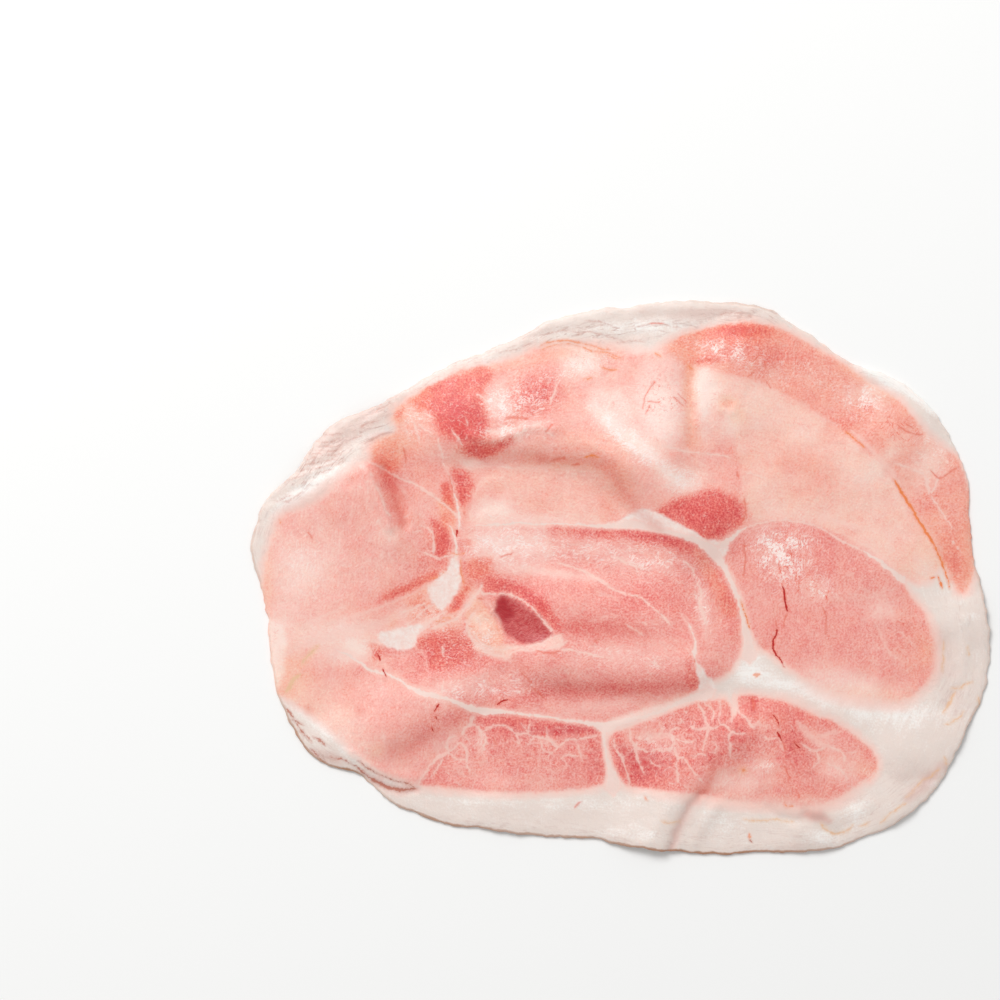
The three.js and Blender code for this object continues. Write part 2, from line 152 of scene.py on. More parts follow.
CRISP_LINES = {
    "veins": (0.8, [
        # Beside the left muscle
        [(370, 462, 0.8), (385, 470, 0.8), (400, 478, 0.9), (415, 485, 1.1), (428, 492, 1.3),
         (440, 501, 1.0), (449, 508, 0.9), (457, 517, 1.1)],
        [(438, 438, 0.4), (441, 449, 1.2), (443, 460, 0.7)],
        # In and under the left muscle
        [(421, 526, 0.5), (428, 528, 0.9), (433, 536, 0.9), (434, 546, 1.0), (433, 554, 0.9)],
        [(423, 552, 0.5), (431, 555, 0.8), (438, 558, 1.0), (446, 557, 0.9), (454, 555, 0.8)],
        [(413, 532, 0.4), (421, 531, 0.7)],
        [(374, 484, 0.5), (380, 492, 1.0), (384, 502, 0.8), (386, 512, 1.2), (392, 517, 0.5)],
        [(376, 523, 0.4), (381, 518, 0.7)], [(359, 486, 1.0), (362, 488, 1.1)],
        [(370, 474, 0.8), (374, 475, 0.9)], [(367, 483, 0.7), (369, 481, 0.8)],
        [(404, 517, 1.0), (407, 515, 1.0)], [(345, 565, 1.0), (346, 566, 1.0)],
        [(350, 566, 0.9), (351, 565, 0.9)],
        # Round the pocket beside the dark spot
        [(476, 611, 0.5), (469, 620, 1.0), (468, 630, 1.3), (474, 641, 1.2), (484, 649, 1.7),
         (496, 655, 1.3), (507, 654, 0.6)],
        [(473, 631, 0.4), (479, 641, 0.9), (490, 647, 1.1), (502, 649, 0.8), (514, 647, 1.2),
         (528, 646, 1.0), (541, 643, 1.6), (552, 637, 1.2), (560, 635, 0.5)],
        [(508, 656, 0.4), (518, 650, 0.9), (534, 650, 0.7), (548, 648, 1.2), (560, 645, 1.6),
         (567, 640, 0.8)], [(477, 617, 0.4), (480, 625, 0.7), (478, 633, 0.3)],
        # Round the dark spot
        [(479, 587, 0.6), (483, 594, 1.0), (491, 594, 1.0), (501, 593, 0.9), (512, 595, 1.2),
         (524, 601, 0.9), (534, 609, 0.8), (543, 620, 0.9), (552, 630, 1.1)],
        [(483, 583, 0.7), (474, 597, 1.3), (465, 609, 1.2), (455, 620, 1.0), (443, 624, 1.5),
         (432, 629, 1.8)], [(447, 611, 0.9), (438, 616, 1.3), (429, 622, 1.3), (420, 630, 1.5)],
        [(432, 604, 0.7), (423, 612, 0.9), (414, 620, 0.8), (404, 625, 0.9)],
        [(402, 612, 0.6), (414, 608, 0.8), (426, 603, 0.6)],
        [(562, 649, 1.5), (575, 650, 0.8), (588, 653, 1.0), (600, 656, 0.7), (613, 658, 0.3)],
        [(443, 646, 0.6), (443, 652, 0.9), (444, 656, 0.4)],
        [(440, 697, 1.0), (442, 688, 1.0), (444, 679, 0.4)],
        # Across the heart
        [(556, 562, 0.4), (570, 566, 0.8), (583, 571, 1.0), (594, 577, 1.5), (604, 583, 1.4),
         (613, 589, 1.0), (624, 593, 0.7), (638, 596, 0.6), (648, 603, 0.7), (656, 611, 0.6),
         (665, 619, 1.1), (672, 627, 0.3)],
        [(612, 556, 0.4), (624, 561, 0.9), (634, 565, 0.8), (643, 569, 0.3)],
        [(626, 624, 0.4), (634, 629, 1.0), (642, 634, 0.6)], [(643, 622, 0.8), (647, 625, 0.6)],
        [(684, 560, 0.4), (690, 567, 0.7), (694, 575, 0.4)],
        # A painted glint streak
        [(697, 583, 0.9), (701, 592, 1.2), (699, 602, 1.0), (702, 613, 1.6), (706, 625, 0.9)],
        [(653, 662, 0.9), (661, 667, 0.8)],
        # Above; the short white strokes at the upper left and beside the red core are painted glints
        [(550, 404, 0.4), (554, 393, 1.1), (558, 382, 0.5)],
        [(655, 446, 0.3), (668, 447, 1.5), (678, 450, 0.7), (689, 452, 1.4), (703, 454, 0.7),
         (718, 455, 0.8), (731, 458, 0.4)],
        [(738, 471, 0.4), (747, 472, 0.8), (757, 475, 0.6), (766, 479, 0.2)],
        [(413, 421, 0.4), (417, 430, 0.9), (419, 440, 0.4)],
        [(419, 424, 0.5), (425, 430, 0.9), (433, 433, 0.5)],
        [(423, 410, 0.3), (429, 416, 0.8), (435, 419, 0.4)],
        [(404, 424, 0.3), (407, 432, 0.6), (410, 440, 0.3)],
        [(452, 430, 0.4), (457, 438, 0.9), (463, 445, 0.3)], [(466, 417, 0.4), (468, 426, 0.5)],
        [(486, 430, 0.5), (493, 432, 1.7), (501, 433, 0.9)],
        [(498, 424, 0.5), (505, 428, 1.0), (511, 433, 0.5)],
        [(513, 438, 0.5), (524, 431, 0.9), (533, 425, 1.1), (543, 428, 0.8), (553, 437, 0.6)],
        [(477, 394, 0.5), (484, 399, 1.0), (488, 404, 0.4)],
        [(499, 466, 0.4), (506, 467, 0.8), (513, 468, 0.3)],
        # Between the round and the pale muscle
        [(748, 526, 0.7), (764, 522, 0.8), (782, 520, 0.8), (802, 522, 0.7), (822, 529, 0.8),
         (840, 540, 1.1), (857, 548, 1.2)],
        # In the outer strip
        [(893, 463, 0.4), (903, 466, 0.8), (914, 470, 0.9), (924, 475, 1.0), (927, 484, 1.4),
         (928, 493, 1.8)], [(939, 474, 0.5), (936, 483, 1.1), (931, 493, 1.3)],
        [(931, 497, 0.8), (938, 507, 0.8), (944, 517, 0.8), (951, 528, 0.7)],
        [(951, 541, 0.7), (954, 544, 0.7)], [(956, 547, 0.6), (958, 549, 0.6)],
    ]),
    "net": (0.72, [
        # In the muscle at the bottom
        [(418, 783, 0.9), (425, 773, 1.0), (431, 764, 1.2), (437, 758, 1.9), (443, 755, 1.5),
         (449, 751, 1.6), (455, 747, 1.1), (460, 743, 1.0), (466, 747, 1.1), (467, 754, 1.3),
         (467, 762, 0.9), (470, 770, 0.4)], [(432, 776, 0.6), (437, 767, 0.9), (443, 760, 0.8)],
        [(449, 751, 1.2), (447, 744, 0.8), (449, 738, 0.7), (455, 736, 0.6)],
        [(449, 751, 1.0), (453, 756, 0.8), (458, 759, 0.8), (466, 760, 0.7)],
        [(473, 716, 1.5), (471, 724, 1.6), (465, 728, 1.2), (463, 735, 0.8), (469, 739, 0.4)],
        [(471, 724, 1.0), (477, 726, 1.2), (482, 731, 1.0), (487, 728, 0.9), (495, 725, 0.8),
         (504, 725, 0.8), (510, 728, 0.9), (516, 733, 1.5), (521, 734, 1.1), (528, 733, 0.9),
         (535, 737, 1.1), (545, 738, 1.1), (551, 740, 1.4), (557, 747, 1.5), (563, 742, 0.8),
         (569, 739, 0.9), (579, 739, 0.8), (590, 737, 0.7), (601, 735, 0.5)],
        [(482, 731, 0.8), (486, 738, 0.7), (484, 746, 0.9), (482, 752, 0.5)],
        [(482, 731, 0.8), (481, 739, 0.6)], [(516, 733, 1.1), (519, 739, 1.0), (518, 745, 0.4)],
        [(528, 733, 0.8), (529, 727, 0.6), (532, 722, 0.5)],
        [(520, 722, 0.4), (525, 728, 0.6), (529, 733, 0.6)],
        [(535, 737, 0.8), (530, 741, 0.7), (527, 746, 0.3)],
        [(547, 727, 0.4), (547, 734, 0.7), (547, 738, 1.0)],
        [(541, 742, 0.4), (544, 751, 0.5), (550, 753, 0.4)],
        [(557, 747, 0.9), (552, 752, 0.7), (547, 756, 0.4)],
        [(560, 759, 0.4), (566, 755, 0.8), (578, 756, 0.7)],
        [(578, 743, 0.3), (580, 752, 0.7), (582, 761, 0.5)],
        # In the marbled muscle
        [(613, 740, 0.5), (616, 749, 0.9), (621, 756, 1.3), (625, 767, 0.7), (628, 776, 0.9),
         (629, 786, 1.4)],
        [(629, 729, 0.8), (631, 739, 1.1), (635, 746, 1.7), (636, 752, 1.5), (638, 759, 1.0),
         (641, 767, 0.8), (645, 774, 0.4)],
        [(635, 747, 1.4), (642, 750, 1.2), (649, 751, 0.9), (657, 749, 0.9), (665, 751, 1.2),
         (672, 746, 1.4)],
        [(672, 747, 1.3), (674, 740, 1.1), (670, 734, 0.9), (672, 729, 0.9), (679, 728, 0.6)],
        [(672, 738, 1.0), (680, 740, 0.9), (688, 742, 1.0), (695, 739, 0.5)],
        [(674, 746, 1.3), (676, 753, 1.5), (678, 758, 1.1), (676, 764, 0.7), (678, 772, 0.8),
         (677, 780, 0.6)],
        [(678, 756, 1.2), (685, 760, 0.8), (690, 767, 1.0), (696, 775, 0.8), (702, 782, 0.6)],
        [(698, 704, 1.2), (702, 711, 1.2), (705, 719, 1.5), (707, 728, 2.0), (706, 736, 1.2),
         (703, 744, 0.9), (702, 752, 0.4)],
        [(691, 727, 0.9), (698, 729, 1.2), (706, 728, 1.4), (714, 727, 0.9), (721, 724, 0.8),
         (726, 726, 0.9), (730, 731, 1.1), (739, 733, 0.8), (745, 732, 0.4)],
        [(729, 731, 1.0), (728, 739, 0.9), (730, 747, 0.6), (729, 757, 0.3)],
        [(704, 702, 0.8), (711, 708, 0.9), (713, 715, 0.8), (711, 721, 0.4)],
        [(719, 700, 0.8), (720, 710, 0.7), (718, 718, 0.8), (720, 724, 0.6)],
        [(734, 695, 3.2), (734, 703, 2.2), (732, 713, 1.4), (731, 722, 0.8)],
        [(736, 707, 1.4), (742, 715, 1.2), (748, 721, 1.3), (751, 727, 0.9), (757, 721, 0.7),
         (761, 717, 0.4)], [(680, 718, 1.2), (681, 721, 1.4)], [(690, 726, 1.2), (694, 727, 1.2)],
        [(685, 711, 0.6), (686, 713, 0.7)], [(693, 757, 0.4), (699, 752, 0.8), (706, 755, 0.4)],
        [(712, 740, 0.4), (716, 746, 0.7), (713, 753, 0.4)],
        [(646, 731, 0.3), (652, 738, 0.7), (648, 744, 0.4)],
        [(659, 722, 0.4), (662, 730, 0.7), (658, 736, 0.4)],
        [(649, 757, 0.3), (653, 764, 0.6), (660, 766, 0.4)],
        [(663, 772, 0.4), (668, 767, 0.6), (674, 769, 0.4)],
        [(760, 734, 0.4), (767, 739, 0.8), (775, 737, 0.4)],
        [(800, 741, 0.4), (807, 748, 0.8), (816, 751, 0.8), (824, 747, 0.4)],
        [(816, 751, 0.7), (818, 760, 0.8), (812, 768, 0.4)],
        [(826, 763, 0.4), (835, 766, 0.9), (843, 772, 0.8), (847, 780, 0.4)],
        [(669, 782, 0.9), (672, 783, 0.9)], [(677, 780, 0.8), (678, 781, 0.8)],
        [(684, 785, 1.0), (686, 786, 1.0)],
        [(831, 747, 1.0), (836, 749, 0.9), (841, 752, 1.1), (844, 757, 1.5), (844, 763, 0.8)],
        [(841, 752, 0.8), (850, 752, 0.7), (859, 751, 0.4)],
        [(858, 783, 0.8), (868, 779, 0.9), (876, 770, 0.8)],
        [(826, 803, 0.6), (835, 801, 1.0), (843, 799, 0.6)],
    ]),
}

SOFT_LINES = {
    "threads": (0.5, [
        # In and below the left muscle
        [(322, 624, 0.4), (345, 619, 1.6), (362, 614, 1.7), (380, 607, 1.6), (395, 601, 1.6),
         (410, 594, 1.7), (424, 587, 2.2), (434, 583, 3.0)],
        [(305, 625, 0.4), (318, 619, 1.6), (332, 612, 1.4), (346, 606, 0.5)],
        [(371, 474, 0.5), (374, 484, 1.0), (376, 495, 0.8), (376, 505, 0.4)],
        [(368, 479, 0.4), (368, 492, 0.8), (367, 502, 0.4)],
        [(354, 502, 0.4), (351, 515, 0.6), (348, 525, 0.3)],
        [(397, 484, 0.4), (402, 489, 0.8), (407, 495, 0.4)],
        [(377, 525, 0.4), (381, 518, 0.8), (383, 519, 0.5)],
        [(318, 523, 0.4), (322, 534, 0.9), (328, 543, 0.5)],
        [(341, 534, 0.4), (340, 544, 0.9), (339, 554, 0.5)],
        [(369, 531, 0.4), (371, 539, 0.7), (373, 545, 0.4)],
        [(412, 646, 0.5), (421, 650, 1.1), (426, 657, 1.0), (427, 668, 0.5)],
        [(462, 456, 0.5), (465, 463, 1.1), (474, 466, 1.0), (498, 466, 0.9), (514, 468, 0.6),
         (550, 468, 0.4)],
        [(504, 452, 0.5), (518, 440, 1.1), (529, 432, 0.9), (540, 425, 1.0), (554, 419, 0.5)],
        [(590, 390, 0.4), (607, 377, 1.0), (626, 364, 0.6)],
        [(597, 394, 0.3), (612, 382, 0.7), (630, 367, 0.4)],
        # In the round muscle
        [(848, 594, 0.4), (858, 595, 0.9), (866, 597, 0.8), (874, 596, 1.0), (882, 592, 0.8),
         (894, 588, 0.4)],
        [(876, 598, 0.7), (883, 601, 0.7), (889, 607, 1.0), (892, 615, 1.1), (894, 621, 0.5)],
        [(833, 597, 0.4), (842, 600, 0.8)], [(845, 575, 0.4), (852, 575, 0.7)],
        [(861, 619, 0.4), (872, 616, 0.8), (880, 608, 1.1)],
        [(874, 621, 0.4), (879, 629, 1.1), (882, 638, 0.9), (886, 647, 1.1), (893, 656, 1.2),
         (904, 661, 0.6)], [(899, 631, 0.3), (907, 638, 0.9), (915, 645, 0.4)],
        [(690, 366, 0.3), (716, 374, 0.5), (735, 378, 0.5), (758, 384, 0.5), (780, 394, 0.5),
         (800, 403, 0.5), (820, 417, 0.6), (838, 427, 0.7)],
        [(742, 533, 0.4), (752, 529, 0.7), (766, 526, 0.6), (787, 525, 0.3)],
        [(745, 521, 0.6), (760, 517, 0.8), (778, 515, 0.6), (797, 514, 0.3)],
        [(842, 533, 0.4), (858, 541, 0.8), (872, 549, 0.6), (884, 557, 0.3)],
        [(596, 591, 0.4), (606, 595, 0.8), (618, 599, 0.3)],
        [(586, 621, 0.4), (600, 618, 0.8), (614, 615, 0.3)],
        [(800, 428, 0.3), (804, 436, 0.7), (815, 440, 0.5)],
        [(485, 598, 0.5), (492, 609, 0.6), (500, 623, 0.4)], [(424, 703, 0.4), (429, 712, 0.6)],
        [(431, 734, 0.4), (436, 744, 0.6), (437, 752, 0.3)],
        [(383, 722, 0.5), (384, 736, 1.4), (386, 750, 1.0), (387, 762, 0.4)],
        [(460, 560, 0.6), (470, 557, 0.8), (484, 555, 1.2), (500, 557, 0.6)],
        [(520, 567, 0.5), (545, 571, 1.4), (575, 576, 1.2), (596, 580, 0.8)],
        # A painted highlight along the crest of the oval's fold
        [(590, 444, 0.5), (601, 443, 1.2), (612, 445, 0.4)],
        [(462, 463, 1.2), (470, 464, 1.8), (482, 462, 0.8)],
        [(748, 724, 1.0), (756, 724, 1.7), (767, 726, 1.0)],
        [(777, 727, 0.8), (778, 737, 1.2), (782, 750, 0.9)], [(729, 427, 1.2), (732, 435, 1.0)],
        # A painted highlight on the dimple's lower rim
        [(724, 408, 1.6), (728, 413, 2.2), (734, 409, 1.4)],
        [(470, 515, 0.5), (474, 500, 1.0), (479, 485, 0.8), (486, 474, 0.5)],
        [(480, 605, 0.4), (474, 615, 0.7)], [(505, 480, 0.3), (507, 492, 0.6), (512, 502, 0.4)],
        [(566, 352, 0.4), (576, 358, 1.0), (586, 367, 0.7), (592, 376, 0.3)],
        [(578, 351, 0.4), (589, 358, 1.0), (597, 367, 0.6)],
        [(562, 360, 0.4), (572, 368, 0.8), (580, 377, 0.4)],
        [(905, 497, 0.8), (915, 512, 1.0), (925, 528, 1.0), (935, 544, 0.9), (941, 557, 1.0)],
        [(868, 396, 0.4), (876, 404, 0.8), (884, 410, 0.4)], [(886, 545, 0.4), (892, 549, 0.7)],
        [(912, 553, 0.5), (918, 560, 0.8)], [(899, 532, 0.3), (905, 538, 0.6)],
    ]),
    "veils": (0.5, [
        [(284, 655, 1.5), (310, 642, 4.0), (340, 634, 5.0), (368, 627, 4.5), (392, 618, 3.0),
         (412, 606, 2.0)], [(340, 650, 3.0), (352, 655, 5.0), (366, 660, 3.0)],
        [(797, 722, 2.0), (805, 731, 4.0), (813, 739, 3.4), (823, 745, 3.0), (833, 748, 1.2)],
        [(815, 736, 1.6), (828, 733, 3.0), (840, 731, 1.8)],
        [(814, 512, 0.8), (828, 518, 2.0), (845, 524, 2.6), (864, 530, 1.4)],
        [(850, 430, 1.2), (862, 441, 1.8), (872, 452, 2.0), (882, 463, 2.4), (892, 474, 2.6),
         (899, 485, 1.8)], [(425, 622, 3.0), (440, 619, 3.2), (452, 616, 2.4)],
        [(640, 737, 3.0), (655, 735, 3.6), (668, 736, 2.4)],
    ]),
}

RED_LINES = {
    "cracks": (1.0, [
        [(782, 585, 0.3), (784, 592, 0.8), (785, 601, 0.7), (787, 611, 0.4)],
        [(777, 629, 0.6), (776, 634, 0.6), (773, 640, 0.9), (773, 647, 0.8), (776, 654, 0.8),
         (780, 660, 0.5), (784, 667, 0.2)], [(773, 714, 0.4), (776, 720, 0.7), (778, 726, 0.5)],
        [(777, 731, 0.7), (778, 735, 0.8), (781, 741, 0.4)],
        [(497, 704, 0.2), (503, 701, 0.8), (509, 699, 0.3)], [(457, 530, 0.7), (457, 536, 0.6)],
        [(434, 711, 0.4), (439, 703, 0.5)], [(436, 716, 0.5), (437, 719, 0.5)],
        [(432, 727, 0.5), (434, 731, 0.4)], [(793, 741, 0.4), (799, 748, 0.5)],
        [(387, 676, 0.3), (383, 668, 0.4)], [(378, 654, 0.5), (380, 660, 0.5)],
    ]),
    "hairlines": (0.55, [
        [(787, 613, 0.2), (784, 620, 0.5), (783, 628, 0.3)], [(775, 621, 0.5), (776, 626, 0.4)],
        [(822, 607, 0.4), (824, 613, 0.6), (826, 619, 0.4), (825, 634, 0.2)],
        [(791, 550, 0.5), (791, 557, 0.5)], [(796, 571, 0.5), (795, 580, 0.6)],
        [(779, 563, 0.3), (780, 574, 0.4)], [(798, 574, 0.2), (799, 592, 0.4)],
        [(783, 764, 0.3), (786, 770, 0.5), (789, 777, 0.3)], [(781, 742, 0.4), (785, 750, 0.3)],
        [(797, 792, 0.3), (799, 797, 0.4)], [(520, 671, 0.2), (532, 682, 0.5)],
        [(530, 685, 0.3), (543, 697, 0.6)], [(743, 498, 0.3), (745, 510, 0.5), (742, 521, 0.4)],
        [(743, 540, 0.3), (745, 560, 0.5), (743, 575, 0.3)],
        [(655, 382, 0.3), (649, 389, 0.5), (645, 396, 0.4), (642, 410, 0.3)],
        [(649, 405, 0.4), (645, 415, 0.3)], [(648, 402, 0.6), (660, 403, 0.3)],
        [(672, 397, 0.3), (683, 406, 0.4)], [(677, 394, 0.2), (687, 403, 0.3)],
        [(552, 460, 0.3), (565, 458, 0.5)], [(572, 465, 0.4), (580, 464, 0.5)],
        [(650, 324, 0.3), (663, 324, 0.5)], [(575, 808, 0.5), (578, 803, 0.9), (581, 801, 0.5)],
        [(736, 472, 0.8), (738, 477, 0.8)], [(752, 696, 0.8), (754, 709, 1.2)],
        [(694, 659, 1.0), (694, 661, 1.0)],
        [(897, 425, 0.3), (904, 431, 0.5), (914, 435, 0.5), (922, 434, 0.3)],
        [(905, 424, 0.3), (913, 429, 0.4)],
        [(930, 470, 0.3), (938, 478, 0.6), (946, 475, 0.5), (957, 467, 0.4)],
        [(747, 377, 0.3), (753, 373, 0.5)], [(752, 362, 0.4), (758, 357, 0.5)],
        [(763, 361, 0.3), (765, 368, 0.4)], [(766, 382, 0.3), (770, 388, 0.5)],
        [(500, 557, 0.3), (507, 555, 0.6), (513, 552, 0.3)],
        [(449, 475, 0.3), (452, 488, 0.6), (453, 496, 0.3)],
        [(403, 448, 0.3), (406, 456, 0.5), (405, 463, 0.3)], [(478, 598, 0.6), (483, 599, 0.6)],
        [(463, 512, 0.6), (465, 515, 0.5)], [(493, 738, 0.3), (497, 745, 0.4)],
        [(308, 532, 0.3), (313, 539, 0.4)], [(505, 418, 0.6), (515, 418, 1.0), (528, 420, 0.8)],
        [(545, 432, 0.6), (552, 425, 0.9)], [(700, 361, 0.8), (707, 360, 1.2), (712, 360, 0.5)],
        [(594, 641, 0.2), (600, 638, 0.4)], [(536, 651, 0.4), (548, 652, 0.7), (560, 651, 0.5)],
    ]),
}

ORANGE_LINES = {
    "dried edges": (1.0, [
        [(893, 479, 0.6), (898, 488, 1.2), (905, 499, 1.5), (912, 510, 1.3), (918, 521, 1.4),
         (926, 533, 1.3), (933, 545, 1.1), (939, 556, 0.8), (943, 568, 0.9), (947, 579, 0.6),
         (949, 588, 0.4)], [(937, 575, 0.3), (940, 582, 0.9), (942, 588, 0.4)],
        [(930, 578, 0.9), (934, 577, 0.9)],
        [(740, 600, 0.4), (743, 608, 0.6), (746, 617, 0.6), (749, 628, 0.3)],
        [(845, 432, 0.5), (852, 438, 0.6), (863, 447, 0.5)],
        [(585, 457, 0.4), (591, 456, 0.8), (598, 457, 0.4)],
    ]),
    "creases": (0.7, [
        [(540, 346, 0.4), (552, 342, 0.7), (569, 341, 0.8), (585, 344, 0.6), (601, 349, 0.5),
         (608, 350, 0.3)],
        [(540, 351, 0.3), (548, 347, 0.5), (571, 344, 0.3), (591, 351, 0.5), (607, 353, 0.4),
         (622, 359, 0.3)], [(607, 355, 0.3), (616, 359, 0.6)],
        [(601, 367, 0.3), (608, 370, 0.7), (617, 370, 0.4)], [(583, 380, 0.4), (592, 378, 0.6)],
        [(655, 353, 0.5), (660, 357, 0.8)], [(688, 366, 1.2), (692, 369, 1.0)],
        [(742, 769, 1.5), (744, 770, 1.5)], [(461, 559, 0.3), (461, 572, 0.7), (464, 583, 0.5)],
        [(452, 553, 0.3), (459, 555, 0.6), (465, 553, 0.4)],
        [(430, 579, 0.3), (440, 576, 0.6), (446, 570, 0.4)], [(754, 675, 1.8), (759, 675, 1.8)],
        [(435, 622, 0.4), (440, 620, 0.7), (445, 621, 0.4)], [(443, 618, 0.4), (450, 618, 0.6)],
        [(784, 802, 0.4), (785, 806, 0.5), (792, 805, 0.3)], [(645, 796, 0.7), (647, 799, 0.7)],
        [(749, 834, 1.6), (749, 837, 1.6)], [(280, 520, 0.7), (281, 523, 0.7)],
    ]),
}

BROWN_LINES = {
    # Where the rim is folded under at the lower left: browned cut edges, and along the lifted meat edge a
    # painted shadow
    "cut edge": (0.8, [
        [(284, 706, 0.3), (290, 713, 0.8), (297, 724, 0.6), (305, 734, 0.9), (313, 742, 0.4)],
        [(292, 719, 0.3), (298, 722, 0.7), (304, 725, 0.4)],
        [(314, 736, 0.3), (320, 740, 0.9), (326, 745, 0.5)],
        [(311, 748, 0.3), (319, 756, 0.7), (325, 764, 0.5)],
        [(330, 757, 0.3), (340, 758, 0.6), (350, 762, 0.5), (359, 768, 0.8), (368, 776, 0.8),
         (380, 783, 1.3), (392, 788, 1.7), (404, 790, 1.4), (416, 788, 0.6)],
        [(358, 760, 0.3), (368, 767, 0.5), (380, 774, 0.3), (392, 779, 0.4), (404, 782, 0.6),
         (415, 787, 0.5)], [(750, 840, 1.3), (751, 841, 1.3)],
    ]),
    # Painted shade: dark lines along the creases of the rim
    "wrinkle_shade": (0.36, [
        # In the rim at the upper left
        [(323, 434, 0.3), (334, 435, 0.7), (343, 433, 0.3)],
        [(319, 442, 0.3), (327, 443, 0.7), (341, 439, 0.4)],
        [(317, 446, 0.3), (325, 447, 0.7), (333, 447, 0.5), (342, 445, 0.3)],
        [(314, 451, 0.3), (322, 450, 0.6), (328, 452, 0.8), (342, 449, 0.3)],
        [(311, 455, 0.3), (318, 454, 0.7), (324, 454, 0.3)],
        [(326, 455, 0.3), (334, 456, 0.7), (342, 454, 0.3)],
        [(307, 460, 0.3), (315, 458, 0.7), (321, 459, 0.4)],
        [(304, 465, 0.3), (312, 463, 0.7), (319, 463, 0.5), (328, 461, 0.7), (339, 459, 0.3)],
        [(301, 471, 0.3), (310, 469, 0.7), (317, 469, 0.5), (324, 467, 0.8), (332, 465, 0.6),
         (339, 460, 0.3)], [(319, 474, 0.3), (327, 471, 0.7), (334, 469, 0.3)],
        [(289, 480, 0.3), (299, 477, 0.7), (308, 474, 0.3)],
        [(275, 501, 0.3), (281, 501, 0.6), (286, 497, 0.7), (294, 495, 0.3)],
        [(282, 502, 0.3), (291, 500, 0.8), (299, 495, 0.6), (306, 492, 0.3)],
        [(346, 441, 0.3), (354, 438, 0.7), (362, 436, 0.4)],
        [(337, 465, 0.3), (343, 461, 0.6), (344, 457, 0.3)],
        [(360, 428, 0.3), (370, 423, 0.7), (380, 421, 0.3)],
        [(372, 414, 0.3), (384, 408, 0.7), (394, 403, 0.3)],
        [(365, 444, 0.4), (374, 439, 0.9), (384, 435, 0.6), (392, 432, 0.4)],
        # And in the rim along the top
        [(500, 353, 0.3), (516, 349, 0.6), (530, 343, 0.3)],
        [(548, 335, 0.3), (560, 331, 0.6), (574, 331, 0.3)],
        [(577, 335, 0.3), (589, 332, 0.7), (606, 336, 0.6), (618, 339, 0.3)],
        [(585, 321, 0.3), (600, 322, 0.5), (612, 326, 0.3)],
        [(638, 327, 0.3), (654, 324, 0.6), (679, 328, 0.3)],
        [(617, 343, 0.3), (630, 341, 0.6), (645, 342, 0.3)],
        [(720, 314, 0.3), (738, 313, 0.6), (752, 317, 0.3)],
    ]),
}

TAN_LINES = {
    "creases": (0.85, [
        [(302, 663, 0.8), (312, 652, 1.2), (319, 645, 0.5)],
        [(287, 692, 1.4), (293, 681, 2.0), (300, 674, 0.9)],
        [(951, 688, 0.6), (957, 688, 0.5), (964, 685, 0.7), (972, 681, 0.4)],
        [(955, 691, 0.5), (951, 699, 1.2), (947, 706, 1.0), (942, 713, 0.5)],
        [(943, 724, 0.4), (951, 722, 0.7), (958, 717, 0.7), (963, 711, 0.4)],
        [(977, 697, 0.4), (978, 708, 0.7), (978, 719, 0.5)],
        [(922, 780, 0.5), (931, 775, 0.9), (939, 768, 0.6)],
        [(905, 797, 0.4), (914, 789, 0.6), (922, 780, 0.5)], [(943, 756, 0.4), (946, 765, 0.6)],
        [(880, 822, 0.5), (889, 814, 0.8), (897, 807, 0.7), (904, 803, 0.4)],
        [(820, 822, 0.6), (826, 829, 1.0), (835, 833, 1.0), (845, 831, 0.8), (853, 825, 0.4)],
        [(859, 825, 0.3), (865, 824, 0.6), (869, 822, 0.3)],
        [(743, 819, 0.3), (760, 820, 0.5), (778, 819, 0.8), (792, 821, 0.5)],
        [(575, 838, 0.5), (586, 838, 0.9)], [(661, 820, 0.3), (672, 822, 0.6), (680, 820, 0.3)],
        [(943, 640, 0.3), (943, 655, 0.5), (942, 672, 0.4)], [(967, 645, 0.3), (968, 655, 0.6)],
    ]),
}

# ---- Ridges and valleys: height in mm, and path with half widths in pixels ----
RELIEF = [
    (1.1, [(366, 470, 4), (374, 488, 5), (382, 508, 5), (390, 528, 4)]),
    (-0.7, [(385, 470, 5), (392, 486, 6), (400, 506, 6), (405, 526, 5)]),
    (-0.45, [(727, 402, 5), (729, 403, 5)]),
    (0.25, [(722, 409, 4), (728, 414, 4), (735, 409, 4)]),
    (0.6, [(470, 436, 5), (490, 440, 5), (512, 434, 5), (532, 427, 5), (552, 430, 5)]),
    (0.4, [(705, 380, 8), (703, 400, 8), (700, 425, 7)]),
    (-0.35, [(690, 380, 6), (688, 410, 7), (690, 445, 6)]),
    (-0.7, [(700, 794, 4), (690, 806, 5), (682, 820, 5), (675, 838, 5), (669, 850, 4)]),
    (0.8, [(716, 806, 8), (704, 822, 9), (694, 842, 8)]),
    (0.35, [(668, 806, 8), (656, 826, 9), (646, 844, 8)]),
    (-0.4, [(766, 808, 4), (778, 815, 5), (792, 819, 5), (804, 816, 4)]),
    (-0.5, [(806, 812, 5), (816, 820, 5), (826, 829, 4), (838, 834, 4)]),
    (0.5, [(798, 832, 8), (812, 838, 8), (826, 842, 6)]),
    (0.4, [(838, 815, 7), (852, 812, 8), (866, 806, 7)]),
    (-0.35, [(945, 640, 9), (948, 665, 9), (946, 690, 8)]),
    (-0.35, [(884, 776, 8), (900, 782, 9), (916, 776, 8)]),
    (0.4, [(962, 620, 8), (964, 650, 8), (962, 680, 8)]),
    (-0.35, [(962, 684, 4), (952, 697, 4), (944, 710, 4)]),
    (0.5, [(352, 752, 5), (372, 766, 5), (394, 774, 5), (412, 779, 4)]),
    (-0.5, [(362, 776, 3), (382, 786, 4), (402, 791, 4), (418, 790, 3)]),
    (-0.3, [(505, 612, 8), (525, 626, 8), (540, 634, 6)]),
    (0.3, [(486, 634, 7), (498, 648, 6)]),
    (0.35, [(590, 445, 7), (620, 462, 7), (645, 485, 7)]),
]
